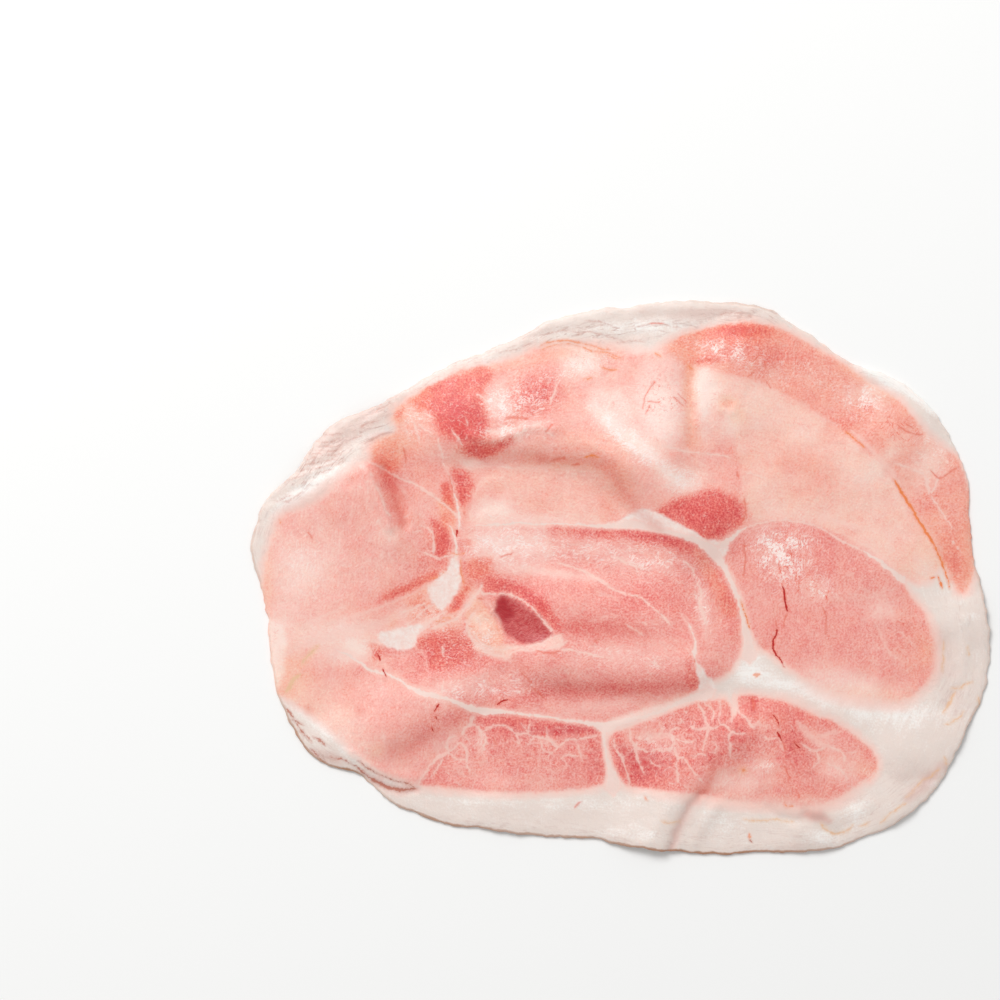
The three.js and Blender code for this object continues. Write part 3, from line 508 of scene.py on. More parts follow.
WRINKLES = [
    # Creases in the rim at the upper left
    (-0.3, [(296, 474, 2.6), (315, 466, 2.8), (336, 458, 2.4)]),
    (-0.26, [(305, 482, 2.6), (325, 473, 2.8), (344, 462, 2.4)]),
    (-0.26, [(272, 502, 2.6), (290, 492, 3.0), (312, 486, 2.4)]),
    (-0.26, [(320, 450, 2.4), (335, 443, 2.6), (352, 434, 2.4)]),
    (-0.22, [(335, 452, 2.4), (350, 444, 2.6), (362, 434, 2.2)]),
    (-0.26, [(262, 540, 2.6), (266, 522, 3.0), (276, 510, 2.4)]),
    (-0.22, [(352, 425, 2.4), (372, 414, 2.6), (392, 402, 2.4)]),
    # And along the top
    (-0.24, [(530, 338, 2.4), (560, 331, 2.8), (595, 328, 2.4)]),
    (-0.2, [(590, 336, 2.2), (615, 338, 2.6), (640, 334, 2.2)]),
    (-0.2, [(640, 318, 2.4), (675, 316, 2.8), (705, 318, 2.4)]),
    (-0.24, [(712, 318, 2.4), (735, 312, 2.8), (760, 314, 2.4)]),
    (-0.2, [(880, 384, 2.2), (900, 393, 2.6), (918, 408, 2.2)]),
]

# ---- Muscles: outline, redness, share of peach, upright share of the grain, softness in mm ----
MUSCLES = {
    "left": {
        "outline": [
            (371, 462), (350, 471), (335, 485), (318, 502), (295, 510), (279, 524), (268, 548),
            (262, 580),
            (266, 620), (290, 622), (330, 612), (370, 604), (400, 595), (430, 580), (448, 567),
            (456, 553),
            (447, 530), (438, 508), (420, 490), (395, 475),
        ],
        "red": -0.14, "peach": 0.16, "upright": 0.9, "soft": 1.2,
    },
    "oval": {
        "outline": [
            (480, 482), (495, 470), (520, 464), (560, 463), (590, 466), (606, 475), (617, 488),
            (631, 505),
            (624, 516), (600, 522), (560, 519), (530, 512), (503, 500),
        ],
        "red": -0.24, "peach": 0.42, "upright": 0.1, "soft": 1.0,
    },
    "small_red": {
        "outline": [
            (657, 514), (668, 502), (690, 494), (712, 490), (732, 497), (742, 508), (740, 524),
            (724, 534),
            (712, 539), (700, 536), (684, 527),
        ],
        "red": 0.6, "peach": 0.2, "upright": 0.8, "soft": 1.8,
    },
    "pale": {
        "outline": [
            (706, 375), (740, 379), (760, 385), (790, 400), (820, 417), (845, 433), (870, 457),
            (890, 478),
            (905, 503), (920, 525), (933, 547), (944, 570), (930, 580), (910, 580), (885, 565),
            (850, 542),
            (820, 528), (785, 519), (755, 521), (744, 500), (738, 460), (726, 420), (706, 395),
        ],
        "red": -0.42, "peach": 0.5, "upright": 0.4, "soft": 1.6,
    },
    "outer_strip": {
        "outline": [
            (688, 334), (715, 327), (745, 323), (780, 330), (820, 350), (860, 376), (900, 401),
            (930, 437),
            (962, 461), (976, 505), (976, 560), (962, 592), (948, 574), (935, 547), (912, 508),
            (890, 476),
            (870, 455), (845, 432), (820, 415), (790, 398), (760, 383), (720, 372), (690, 360),
        ],
        "red": 0.04, "peach": 0.5, "upright": 0.3, "soft": 1.0,
    },
    "round": {
        "outline": MEAT["round"], "red": 0.08, "peach": 0.04, "upright": 0.8, "soft": 1.0,
    },
    "marbled": {
        "outline": MEAT["marbled"], "red": 0.3, "peach": 0.16, "upright": 0.9, "soft": 0.8,
    },
    "bottom": {
        "outline": [
            (479, 714), (500, 712), (540, 719), (580, 726), (602, 730), (605, 760), (604, 784),
            (560, 792),
            (500, 792), (445, 787), (418, 783), (434, 762), (455, 742),
        ],
        "red": 0.36, "peach": 0.1, "upright": 0.8, "soft": 0.8,
    },
    "lower_left": {
        "outline": [
            (258, 690), (285, 672), (320, 655), (345, 652), (385, 672), (415, 689), (440, 700),
            (470, 711),
            (474, 721), (455, 742), (434, 762), (416, 784), (380, 775), (330, 735), (280, 700),
        ],
        "red": -0.12, "peach": 0.1, "upright": 0.7, "soft": 1.2,
    },
    "heart": {
        "outline": [
            (462, 552), (480, 540), (510, 528), (560, 525), (610, 528), (650, 531), (690, 541),
            (712, 553),
            (728, 578), (740, 608), (743, 640), (730, 668), (700, 684), (650, 704), (607, 720),
            (560, 718),
            (500, 708), (460, 703), (435, 690), (415, 683), (388, 664), (375, 648), (420, 640),
            (460, 634),
        ],
        "red": 0.08, "peach": 0.0, "upright": 0.15, "soft": 1.0,
    },
    "crescent": {
        "outline": [
            (697, 546), (706, 556), (715, 570), (726, 586), (737, 608), (741, 640), (736, 662),
            (716, 676),
            (703, 664), (704, 640), (708, 620), (700, 590), (690, 566),
        ],
        "red": 0.04, "peach": 0.04, "upright": 0.9, "soft": 1.2,
    },
}
PLAIN = {"red": -0.12, "peach": 0.22, "upright": 0.3}  # the meat between the muscles

# ---- Smaller areas: redness, peach, softness in mm, outline ----
AREAS = [
    # At the upper left
    (0.64, 0.6, 1.8, [(418, 396), (430, 386), (450, 378), (468, 372), (486, 368), (492, 378), (486, 392),
                      (484, 418), (470, 430), (440, 420), (412, 404)]),
    (0.75, 0.3, 3.0, [(436, 404), (460, 398), (480, 405), (487, 420), (485, 438), (468, 442),
                      (440, 430)]),
    (0.8, 0.5, 1.8, [(460, 448), (478, 442), (495, 445), (512, 438), (506, 450), (490, 457), (474, 458)]),
    # Painted highlight: a pinkish-white patch where the wet meat shines
    (-0.2, 0.0, 2.0, [(488, 392), (494, 382), (503, 378), (508, 392), (512, 405), (508, 416), (496, 418),
                      (485, 404)]),
    (0.15, 0.95, 2.0, [(376, 443), (386, 438), (398, 440), (400, 455), (396, 470), (384, 468),
                       (374, 456)]),
    (0.3, 1.0, 0.5, [(392, 414), (398, 408), (404, 404), (402, 414), (397, 422)]),
    (-0.05, 1.0, 0.6, [(437, 500), (444, 503), (451, 509), (456, 516), (456, 528), (452, 533), (447, 527),
                       (442, 514)]),
    (0.6, 0.6, 1.2, [(441, 486), (449, 484), (453, 497), (455, 510), (450, 507), (443, 500)]),
    (0.66, 0.35, 1.8, [(453, 470), (462, 470), (470, 477), (473, 487), (470, 496), (463, 505),
                       (458, 497)]),
    (0.56, 0.35, 1.5, [(433, 520), (441, 522), (447, 531), (453, 541), (451, 551), (441, 556), (433, 553),
                      (435, 540)]),
    (0.4, 0.7, 1.4, [(384, 598), (400, 586), (418, 578), (434, 572), (438, 577), (420, 586), (402, 594)]),
    # Above the heart
    # Partly painted highlight: a pale patch and band where the wet meat shines
    (-0.5, 0.1, 2.6, [(588, 398), (592, 391), (606, 389), (622, 392), (632, 410), (638, 428), (652, 444),
                       (664, 462), (668, 474), (658, 468), (645, 456), (625, 442), (605, 434),
                       (594, 420)]),
    (-0.34, 0.04, 2.6, [(642, 362), (680, 360), (684, 400), (680, 440), (662, 445), (646, 430),
                        (637, 400)]),
    # An orange band, partly painted shade on the flank of the valley beside the white ridge
    (0.1, 0.75, 2.2, [(684, 362), (694, 362), (696, 378), (693, 396), (696, 420), (700, 445), (690, 452),
                     (683, 438), (684, 400)]),
    # Painted highlight: the white crest of a ridge
    (-0.85, 0.2, 2.2, [(697, 378), (704, 369), (713, 373), (717, 386), (710, 404), (704, 416),
                       (698, 404)]),
    # A cream patch, partly painted highlight
    (-0.6, 0.25, 2.6, [(562, 356), (575, 350), (590, 352), (601, 362), (594, 373), (578, 373),
                       (566, 366)]),
    (0.15, 0.7, 1.0, [(668, 346), (680, 337), (692, 338), (696, 350), (690, 360), (680, 362),
                      (674, 355)]),
    (-0.6, 0.25, 2.4, [(469, 521), (474, 510), (480, 501), (490, 498), (502, 499), (512, 508), (530, 514),
                      (552, 516), (580, 520), (600, 524), (565, 525), (540, 528), (515, 528),
                      (490, 526)]),
    # In the heart
    (-0.2, 0.0, 2.0, [(470, 540), (480, 531), (510, 529), (540, 531), (552, 545), (548, 560), (525, 571),
                      (500, 568), (478, 556)]),
    (0.42, 0.2, 1.8, [(548, 528), (580, 528), (620, 531), (655, 534), (680, 541), (700, 553), (688, 552),
                      (660, 544), (620, 539), (580, 536)]),
    (0.15, 0.6, 1.5, [(693, 548), (702, 552), (712, 563), (722, 580), (733, 598), (739, 615), (728, 618),
                      (718, 604), (710, 590), (703, 574)]),
    (0.4, 0.3, 1.3, [(686, 655), (692, 662), (696, 675), (697, 688), (689, 690), (686, 675)]),
    (0.35, 0.5, 1.2, [(466, 560), (478, 557), (493, 560), (489, 572), (477, 579), (467, 577)]),
    (0.3, 0.2, 0.7, [(455, 542), (462, 537), (471, 540), (469, 549), (460, 551)]),
    (0.6, 0.6, 0.8, [(471, 584), (464, 588), (456, 597), (448, 612), (456, 608), (463, 600), (469, 591)]),
    (0.45, 0.2, 1.2, [(481, 590), (484, 581), (492, 577), (505, 581), (520, 586), (535, 594), (548, 606),
                      (556, 619), (561, 627), (552, 628), (543, 617), (533, 607), (521, 600),
                      (508, 595)]),
    # The pocket beside the dark spot
    (0.02, 0.9, 0.8, [(470, 606), (479, 600), (488, 611), (497, 624), (505, 637), (498, 646), (486, 646),
                        (476, 638), (468, 628), (466, 616)]),
    (-0.5, 0.25, 0.9, [(468, 632), (475, 640), (484, 645), (496, 646), (510, 645), (526, 646), (541, 643),
                       (551, 637), (560, 633), (565, 638), (560, 646), (545, 648), (526, 649), (512, 652),
                       (508, 657), (497, 659), (486, 654), (475, 647)]),
    # At the lower left
    (0.6, 0.4, 1.0, [(368, 645), (376, 643), (382, 650), (378, 660), (371, 653)]),
    (0.42, 0.4, 1.0, [(416, 642), (428, 631), (440, 630), (452, 627), (462, 631), (468, 638), (473, 650),
                     (467, 661), (446, 668), (432, 667), (428, 656), (422, 650), (415, 648)]),
    (-0.45, 0.4, 1.6, [(345, 642), (356, 641), (366, 648), (370, 658), (360, 657), (350, 653)]),
    (0.32, 0.8, 0.5, [(410, 600), (421, 598), (430, 604), (430, 610), (416, 614), (408, 611)]),
    (0.36, 0.8, 0.5, [(414, 615), (429, 612), (423, 619), (413, 624), (407, 620), (407, 617)]),
    (0.02, 0.8, 0.7, [(387, 616), (396, 613), (400, 620), (394, 627), (388, 624)]),
    (-0.1, 1.0, 0.8, [(285, 680), (291, 676), (300, 672), (300, 682), (296, 698), (288, 696),
                      (281, 692)]),
    (-0.1, 1.0, 0.8, [(287, 662), (300, 661), (310, 652), (318, 646), (314, 656), (303, 666),
                      (290, 673)]),
    (-0.6, 0.1, 1.0, [(268, 622), (278, 624), (286, 640), (287, 660), (282, 680), (277, 692),
                      (272, 660)]),
]

# ---- Soft blots: x, y, half width, half height, turn in degrees, strength ----
# Redder meat, and painted warm shade along folds: under the oval's fold, in the left muscle's fold, beyond
# the dark spot and along the heart's lower edge
RED_AND_SHADE_BLOTS = [
    (462, 420, 30, 22, -20, 0.2), (532, 396, 26, 20, 10, 0.8), (552, 386, 16, 16, 0, 0.25),
    (575, 462, 56, 6, -5, 0.2), (620, 482, 9, 20, 35, 0.2), (455, 492, 12, 24, 10, 0.25),
    (437, 542, 16, 28, 10, 0.3), (446, 520, 8, 14, -20, 0.3), (405, 592, 34, 8, 22, 0.45),
    (418, 566, 20, 12, 20, 0.25), (412, 470, 22, 18, 0, 0.2), (390, 488, 9, 22, -20, 0.25),
    (388, 470, 10, 12, 0, 0.3), (397, 516, 7, 16, -15, 0.2), (740, 331, 30, 8, 0, 0.9),
    (752, 348, 60, 14, -14, 0.35), (704, 361, 16, 4, 5, 0.6), (740, 352, 50, 10, -12, 0.2),
    (838, 428, 22, 14, 30, 0.25), (866, 406, 8, 9, 0, 0.55), (948, 540, 14, 40, -12, 0.25),
    (955, 562, 9, 14, 0, 0.3), (925, 505, 16, 30, -28, 0.22), (700, 512, 30, 16, 0, 0.22),
    (655, 537, 60, 6, -6, 0.34), (700, 562, 20, 24, 30, 0.25), (728, 606, 8, 26, 12, 0.3),
    (822, 545, 14, 20, 10, 0.1), (842, 574, 26, 30, 0, 0.04), (862, 586, 22, 16, 0, 0.1),
    (898, 642, 26, 22, 10, 0.2), (508, 584, 26, 6, -10, 0.2), (540, 606, 20, 6, -42, 0.4),
    (520, 590, 50, 12, -20, 0.1), (440, 648, 24, 16, 10, 0.35), (470, 660, 34, 14, 20, 0.26),
    (440, 620, 10, 8, 40, 0.6), (424, 612, 9, 6, 0, 0.55), (456, 606, 6, 6, 0, 0.4),
    (480, 568, 14, 8, 10, 0.2), (440, 560, 6, 6, 0, 0.3), (362, 666, 14, 7, 40, 0.3),
    (392, 650, 26, 4, 12, 0.4), (425, 660, 8, 10, 0, 0.3), (580, 627, 24, 8, 8, 0.24),
    (615, 630, 30, 8, 4, 0.1), (625, 688, 70, 8, 3, 0.3), (535, 696, 26, 6, 20, 0.3),
    (454, 717, 20, 12, 15, 0.42), (566, 729, 40, 6, 4, 0.85), (505, 725, 28, 8, 0, 0.35),
    (430, 728, 16, 14, 25, 0.2), (595, 760, 8, 22, 0, 0.3), (668, 762, 30, 16, 0, 0.35),
    (636, 766, 20, 20, 0, 0.56), (735, 735, 18, 16, 0, 0.4), (700, 730, 34, 20, 0, 0.24),
    (640, 760, 12, 20, 0, 0.22), (792, 744, 14, 20, 10, 0.36), (808, 765, 10, 12, 0, 0.3),
    (620, 752, 6, 20, 8, 0.3), (800, 468, 44, 26, -34, 0.34), (727, 404, 7, 4, 0, 0.5),
    (450, 388, 16, 10, 20, 0.2), (416, 605, 9, 5, 0, 0.3), (417, 618, 9, 5, 0, 0.3),
    (610, 500, 14, 14, 0, 0.16), (740, 466, 12, 30, 0, 0.18), (752, 702, 4, 12, 0, 0.6),
    (712, 758, 12, 8, 0, 0.2), (410, 728, 26, 24, 20, 0.12), (640, 600, 50, 18, 0, 0.22),
    (820, 768, 30, 20, 0, -0.3), (925, 470, 16, 22, -40, -0.42),
]
# Paler meat, and painted highlights where the wet meat shines, as in the patches and the diagonal band
# above the heart and at the white ridge
PALE_AND_HIGHLIGHT_BLOTS = [
    (300, 570, 36, 34, 30, 0.52), (350, 628, 30, 14, -10, 0.25), (330, 640, 60, 18, -10, 0.5),
    (338, 726, 44, 20, -38, 0.42), (275, 650, 10, 40, -8, 0.4), (497, 404, 14, 12, 0, 0.5),
    (505, 387, 14, 8, 0, 0.2), (500, 432, 18, 6, 0, 0.3), (494, 511, 20, 8, 5, 0.3),
    (401, 637, 20, 9, 0, 0.4), (476, 618, 7, 5, 0, 0.6), (418, 612, 16, 12, 0, 0.5),
    (472, 600, 5, 16, -38, 0.6), (582, 364, 28, 14, 30, 0.5), (612, 410, 28, 24, -45, 0.15),
    (660, 430, 22, 36, -40, 0.4), (607, 420, 24, 7, -40, 0.4), (640, 450, 26, 7, -38, 0.5),
    (670, 476, 18, 8, -40, 0.4), (655, 395, 26, 30, 0, 0.42), (702, 388, 9, 22, 0, 0.3),
    (706, 420, 12, 34, -10, 0.35), (684, 481, 18, 14, 0, 0.7), (868, 396, 18, 14, 30, 0.6),
    (884, 458, 10, 24, -40, 0.55), (862, 470, 20, 16, 30, 0.1), (932, 450, 24, 18, 40, 0.3),
    (500, 545, 34, 16, 0, 0.45), (560, 545, 50, 10, 0, 0.2), (630, 560, 60, 12, -6, 0.25),
    (550, 573, 50, 6, -6, 0.45), (775, 556, 22, 20, 20, 0.1), (812, 590, 18, 12, 0, 0.25),
    (848, 684, 50, 14, -14, 0.75), (884, 612, 14, 8, 0, 0.4), (765, 610, 12, 24, 10, 0.12),
    (630, 655, 46, 12, 3, 0.3), (600, 705, 60, 7, 8, 0.3), (455, 685, 34, 11, 10, 0.4),
    (735, 782, 40, 15, 0, 0.66), (764, 764, 16, 10, 0, 0.4), (848, 770, 22, 20, 0, 0.4),
    (822, 738, 18, 8, -15, 0.3), (520, 782, 70, 8, 0, 0.35), (468, 770, 30, 10, 0, 0.2),
    (740, 405, 26, 26, 0, 0.15), (728, 428, 9, 10, 0, 0.4), (580, 600, 30, 12, 0, 0.15),
    (703, 612, 6, 26, 8, 0.5), (390, 534, 12, 10, 30, 0.35), (472, 463, 10, 6, 0, 0.45),
    (655, 742, 24, 8, 0, 0.35), (640, 730, 22, 8, 0, 0.3), (545, 739, 10, 6, 0, 0.3),
    (482, 742, 6, 14, 0, 0.5), (800, 440, 30, 14, -30, 0.15), (350, 655, 16, 9, 10, 0.4),
    (484, 628, 12, 12, 0, 0.4), (435, 626, 20, 6, -20, 0.35), (800, 800, 60, 6, 0, 0.35),
    (925, 570, 14, 10, -20, 0.3),
]
# More peach meat, and painted warm shade along the oval's fold, down the valley's flank beside the white
# ridge and in the dimple
PEACH_AND_SHADE_BLOTS = [
    (740, 334, 44, 12, 0, 0.55), (390, 446, 16, 14, 0, 0.9), (396, 414, 6, 7, 0, 1.2),
    (408, 424, 20, 26, 0, 0.5), (420, 395, 16, 12, 30, 0.5), (290, 672, 22, 26, 0, 0.7),
    (325, 712, 34, 24, -38, 0.5), (290, 690, 14, 12, 40, 0.8), (268, 580, 6, 36, 0, 0.8),
    (942, 556, 14, 24, -15, 0.5), (925, 540, 12, 40, -28, 0.4), (870, 694, 50, 9, -5, 0.6),
    (600, 445, 40, 12, -10, 0.5), (575, 352, 44, 8, 5, 0.55), (575, 463, 60, 7, -6, 0.5),
    (622, 484, 10, 20, 35, 0.5), (690, 366, 7, 50, 0, 0.6), (690, 342, 14, 12, 0, 0.6),
    (448, 512, 7, 16, -20, 1.0), (440, 616, 20, 12, -20, 0.8), (480, 572, 14, 10, 0, 0.5),
    (484, 626, 11, 16, 0, 1.2), (505, 366, 40, 6, 10, 0.5), (860, 372, 70, 9, -38, 0.5),
    (727, 403, 8, 6, 0, 1.4), (737, 416, 8, 8, 0, 0.8), (926, 650, 8, 16, 10, 0.6),
    (968, 555, 12, 40, 0, 0.7), (912, 645, 22, 40, 0, 0.4), (378, 748, 8, 8, 0, 0.8),
    (470, 590, 8, 16, 40, 0.5), (425, 590, 30, 5, 22, 0.6), (743, 769, 4, 4, 0, 1.2),
    (866, 770, 12, 8, 0, 0.6), (500, 650, 10, 6, 0, 0.6),
]
DARK_SPOT = [  # outline of the dark red spot in the heart
    (496, 603), (500, 597), (505, 596), (512, 599), (522, 603), (530, 609), (538, 616), (546, 624),
    (553, 631),
    (548, 637), (538, 641), (524, 642), (514, 639), (507, 633), (502, 625), (498, 617), (494, 609),
]
DARK_CORE = [  # and of its darkest part
    (498, 602), (504, 598), (509, 604), (514, 611), (512, 618), (506, 622), (501, 618), (496, 609),
]
# Where white glints are painted: partly painted highlights of the wet meat, partly whitish flecks
GLINT_BLOTS = [
    (788, 556, 30, 34, 0, 1.4), (768, 548, 22, 18, 0, 0.9), (822, 590, 16, 12, -30, 1.1),
    (525, 402, 36, 30, 0, 1.0), (497, 404, 16, 14, 0, 1.0), (505, 432, 26, 10, 0, 1.2),
    (415, 422, 22, 24, 0, 0.9), (500, 545, 44, 22, 0, 1.2), (580, 550, 50, 16, -5, 0.7),
    (650, 560, 50, 20, -8, 0.9), (702, 606, 8, 26, 10, 1.3), (470, 690, 54, 12, 10, 0.9),
    (520, 690, 30, 12, 0, 0.5), (600, 655, 70, 14, 0, 0.6), (655, 665, 18, 6, 0, 0.8),
    (866, 400, 26, 20, 30, 1.2), (932, 450, 26, 30, 40, 0.8), (755, 362, 50, 16, -20, 0.9),
    (715, 350, 34, 12, 0, 0.8), (620, 425, 40, 50, -35, 0.5), (612, 425, 26, 8, -40, 1.0),
    (645, 455, 30, 10, -38, 1.3), (684, 481, 18, 16, 0, 1.1), (702, 388, 10, 24, 0, 0.9),
    (350, 540, 60, 60, 0, 0.2), (484, 632, 12, 18, 20, 1.1), (435, 618, 30, 12, -20, 1.2),
    (370, 650, 46, 12, 10, 0.5), (655, 742, 26, 12, 0, 0.9), (690, 770, 60, 24, 0, 0.3),
    (764, 764, 14, 8, 0, 1.0), (850, 780, 30, 18, 0, 0.5), (582, 364, 34, 14, 20, 1.2),
    (670, 720, 40, 10, -15, 0.6), (460, 655, 36, 22, 0, 0.6), (430, 730, 30, 26, 0, 0.3),
    (510, 775, 70, 14, 0, 0.3), (840, 680, 50, 14, -10, 0.2), (300, 560, 20, 34, 20, 0.5),
    (640, 590, 60, 16, 0, 0.15), (820, 375, 40, 12, -35, 0.5), (482, 742, 8, 14, 0, 0.8),
]
MARBLE_BLOTS = [
    (700, 745, 100, 34, 0, 0.7), (545, 745, 70, 24, 0, 0.7), (462, 748, 24, 24, 0, 0.6),
    (870, 600, 40, 30, 0, 0.6), (895, 645, 26, 30, 0, 0.6), (930, 505, 30, 60, 20, 0.5),
    (510, 772, 80, 14, 0, 0.4), (430, 720, 20, 20, 0, 0.3), (424, 614, 24, 12, 0, 0.8),
    (740, 352, 50, 14, -10, 0.5), (840, 760, 30, 20, 0, 0.4), (525, 398, 36, 24, 0, 0.4),
]
# Pinker, greyer fat, and painted shade in the fat's folds and dents at the lower right and the right
FAT_PINK_AND_SHADE_BLOTS = [
    (330, 446, 70, 18, 36, 0.8), (385, 412, 40, 14, 34, 0.5), (262, 540, 16, 40, 10, 0.25),
    (715, 314, 50, 9, 0, 0.9), (560, 328, 60, 9, 8, 0.4), (500, 350, 50, 9, 20, 0.5),
    (640, 312, 40, 8, 0, 0.3), (330, 757, 20, 7, -20, 1.0), (944, 650, 12, 34, 0, 0.3),
    (900, 768, 24, 18, 0, 0.5), (955, 704, 18, 24, 0, 0.45), (928, 775, 16, 10, 40, 0.6),
    (905, 405, 30, 12, -40, 0.3), (790, 815, 26, 6, 0, 0.6), (815, 815, 16, 9, 0, 0.7),
    (688, 806, 7, 24, 20, 0.4), (797, 846, 14, 8, 0, 0.5), (975, 560, 8, 40, 0, 0.5),
    (620, 340, 40, 5, 5, 0.6), (985, 690, 10, 40, 0, 0.3), (560, 812, 90, 12, -4, 0.25),
    (795, 340, 40, 7, -30, 0.3), (646, 518, 20, 5, -38, 1.3),
]
# Whiter fat, and painted highlights on the lit sides of the fat's puffs and folds along the bottom
FAT_BRIGHT_AND_HIGHLIGHT_BLOTS = [
    (316, 484, 40, 9, 28, 0.7), (890, 382, 44, 7, -28, 1.1), (928, 404, 18, 6, -50, 0.8),
    (460, 372, 50, 5, 22, 0.6), (384, 434, 14, 4, 10, 1.2), (290, 505, 20, 8, 45, 0.6),
    (326, 731, 56, 6, -38, 0.6), (392, 780, 26, 4, -16, 0.6), (900, 714, 50, 12, 0, 0.6),
    (800, 690, 60, 9, -18, 0.6), (750, 670, 20, 16, 0, 0.6), (720, 822, 24, 20, 0, 0.3),
    (820, 836, 16, 7, 0, 0.7), (856, 812, 14, 16, 0, 0.5), (625, 832, 26, 6, 0, 0.5),
    (930, 782, 6, 4, 0, 1.0), (971, 616, 8, 4, 0, 0.4), (650, 326, 60, 7, 4, 0.6),
    (600, 802, 70, 9, 0, 0.25), (480, 802, 60, 9, -4, 0.25), (640, 516, 24, 5, 0, 0.6),
    (713, 552, 12, 8, 0, 0.8),
]
SOFT_EDGE_BLOTS = [
    (770, 800, 90, 12, 0, 2.2), (850, 700, 60, 12, -8, 1.8), (930, 655, 12, 36, 8, 1.4),
    (318, 494, 50, 14, 30, 1.4), (380, 450, 20, 16, 0, 1.0), (500, 790, 100, 8, 0, 0.6),
    (600, 348, 60, 8, 0, 0.8),
]
BROWNED_EDGE_BLOTS = [
    (710, 852, 170, 16, 0, 1.0), (440, 818, 80, 14, -14, 0.8), (560, 834, 70, 10, -6, 0.5),
    (305, 735, 40, 24, -45, 0.9), (350, 768, 24, 14, -20, 0.9), (900, 800, 50, 16, 40, 0.5),
    (968, 700, 14, 60, 0, 0.35), (980, 600, 12, 60, 0, 0.25), (255, 560, 12, 50, 0, 0.3),
    (270, 660, 12, 50, 0, 0.15), (760, 305, 60, 8, 0, 0.3),
]
# Painted shade of the folds and dents, and a painted shadow under the lifted edge at the lower left; the
# last two entries are two small brownish spots on the meat
SHADES = [  # where folds darken the colour: strength, and path with half widths
    (0.34, [(540, 459, 5), (575, 460, 6), (600, 465, 8), (614, 477, 9), (624, 492, 9), (634, 506, 7),
           (646, 517, 6), (658, 528, 5)]),
    (0.72, [(380, 460, 7), (386, 474, 10), (393, 490, 10), (399, 508, 8), (402, 525, 6)]),
    (0.16, [(466, 452, 4), (480, 454, 6), (500, 454, 5), (520, 457, 5), (545, 460, 5)]),
    (0.36, [(560, 686, 8), (600, 688, 9), (640, 688, 9), (680, 686, 8)]),
    (0.36, [(560, 625, 6), (590, 626, 9), (620, 628, 8), (645, 633, 6)]),
    (0.42, [(702, 792, 3), (693, 802, 5), (685, 814, 5), (678, 830, 5), (671, 848, 4)]),
    (0.5, [(806, 812, 4), (816, 815, 6), (827, 820, 4)]),
    (0.35, [(942, 766, 5), (926, 782, 6), (906, 797, 5)]),
    (0.5, [(716, 756, 4), (711, 770, 6), (706, 784, 5), (701, 793, 3)]),
    (0.15, [(940, 632, 8), (946, 650, 10), (948, 672, 9)]),
    (0.4, [(392, 750, 10), (410, 744, 12), (426, 736, 10)]),
    (0.45, [(362, 771, 2), (374, 779, 4), (388, 786, 5), (402, 790, 5), (418, 789, 3)]),
    (0.4, [(309, 709, 4), (309, 710, 4)]),
    (0.4, [(360, 709, 4), (361, 710, 4)]),
]
CRACKED_BLOTS = [
    (790, 560, 22, 34, 0, 1.1), (822, 594, 16, 14, 0, 0.7), (895, 428, 26, 20, 0, 0.9),
    (752, 358, 32, 16, 0, 0.8), (655, 395, 16, 24, 0, 0.7), (680, 400, 12, 14, 0, 0.6),
    (744, 540, 5, 50, 0, 0.9), (590, 362, 30, 14, 0, 0.6), (436, 714, 9, 14, 0, 0.7),
    (500, 700, 30, 8, 0, 0.5), (560, 450, 40, 14, 0, 0.3), (438, 614, 20, 12, 0, 1.0),
    (390, 658, 20, 8, 0, 0.6), (785, 775, 14, 20, 0, 0.5), (722, 401, 12, 10, 0, 0.6),
    (830, 610, 14, 22, 0, 0.5), (400, 455, 14, 20, 0, 0.4),
]
CRINKLE_BLOTS = [
    (320, 464, 50, 16, 36, 1.0), (380, 425, 30, 14, 36, 0.7), (262, 530, 14, 40, 10, 0.3),
    (440, 375, 70, 14, 22, 0.5), (600, 332, 110, 10, 3, 0.8), (740, 314, 50, 9, 0, 0.6),
    (850, 362, 60, 9, -30, 0.4), (955, 700, 20, 30, 0, 0.3), (900, 790, 40, 20, 30, 0.2),
    (730, 840, 120, 12, 0, 0.3), (318, 752, 24, 12, -40, 0.6), (500, 825, 120, 8, -4, 0.25),
    (860, 820, 30, 16, 30, 0.25), (960, 600, 14, 24, 0, 0.3),
]


# ---- Curves and fields ----

CLEARANCE = 10  # pixels that two lines of one channel keep between their edges
TAPER_FROM = 3  # pixels beside a line's edge where its channel starts to rule out any line
TAPER_SLOPE = 3  # how fast the half width falls from there on
OUTLINE_REACH = 40  # pixels beyond an outline over which its depth is worked out
RIDGE_REACH = 3  # half widths beside a ridge where it has faded out
LATTICE = 64  # cells after which smooth random relief repeats


def smooth_path(points, closed, steps=5):
    """Points of a Catmull-Rom curve through the given ones. A third column, a width, goes along."""
    knots = np.asarray(points, float)
    count = len(knots)
    spans = count if closed else count - 1
    pieces = []
    for i in range(spans):
        places = [i - 1, i, i + 1, i + 2]
        if closed:
            places = [place % count for place in places]
        before, start, end, after = knots[np.clip(places, 0, count - 1)]
        t = np.linspace(0, 1, steps, endpoint=False)[:, None]
        pieces.append(
            0.5 * (2 * start + (end - before) * t
                   + (2 * before - 5 * start + 4 * end - after) * t**2
                   + (3 * start - 3 * end + after - before) * t**3)
        )
    if not closed:
        pieces.append(knots[-1:])
    return np.vstack(pieces)


def close_to(at, path, reach):
    """The numbers of the points that lie within reach of a path's box."""
    low, high = path[:, :2].min(0) - reach, path[:, :2].max(0) + reach
    return np.flatnonzero(((at > low) & (at < high)).all(1))


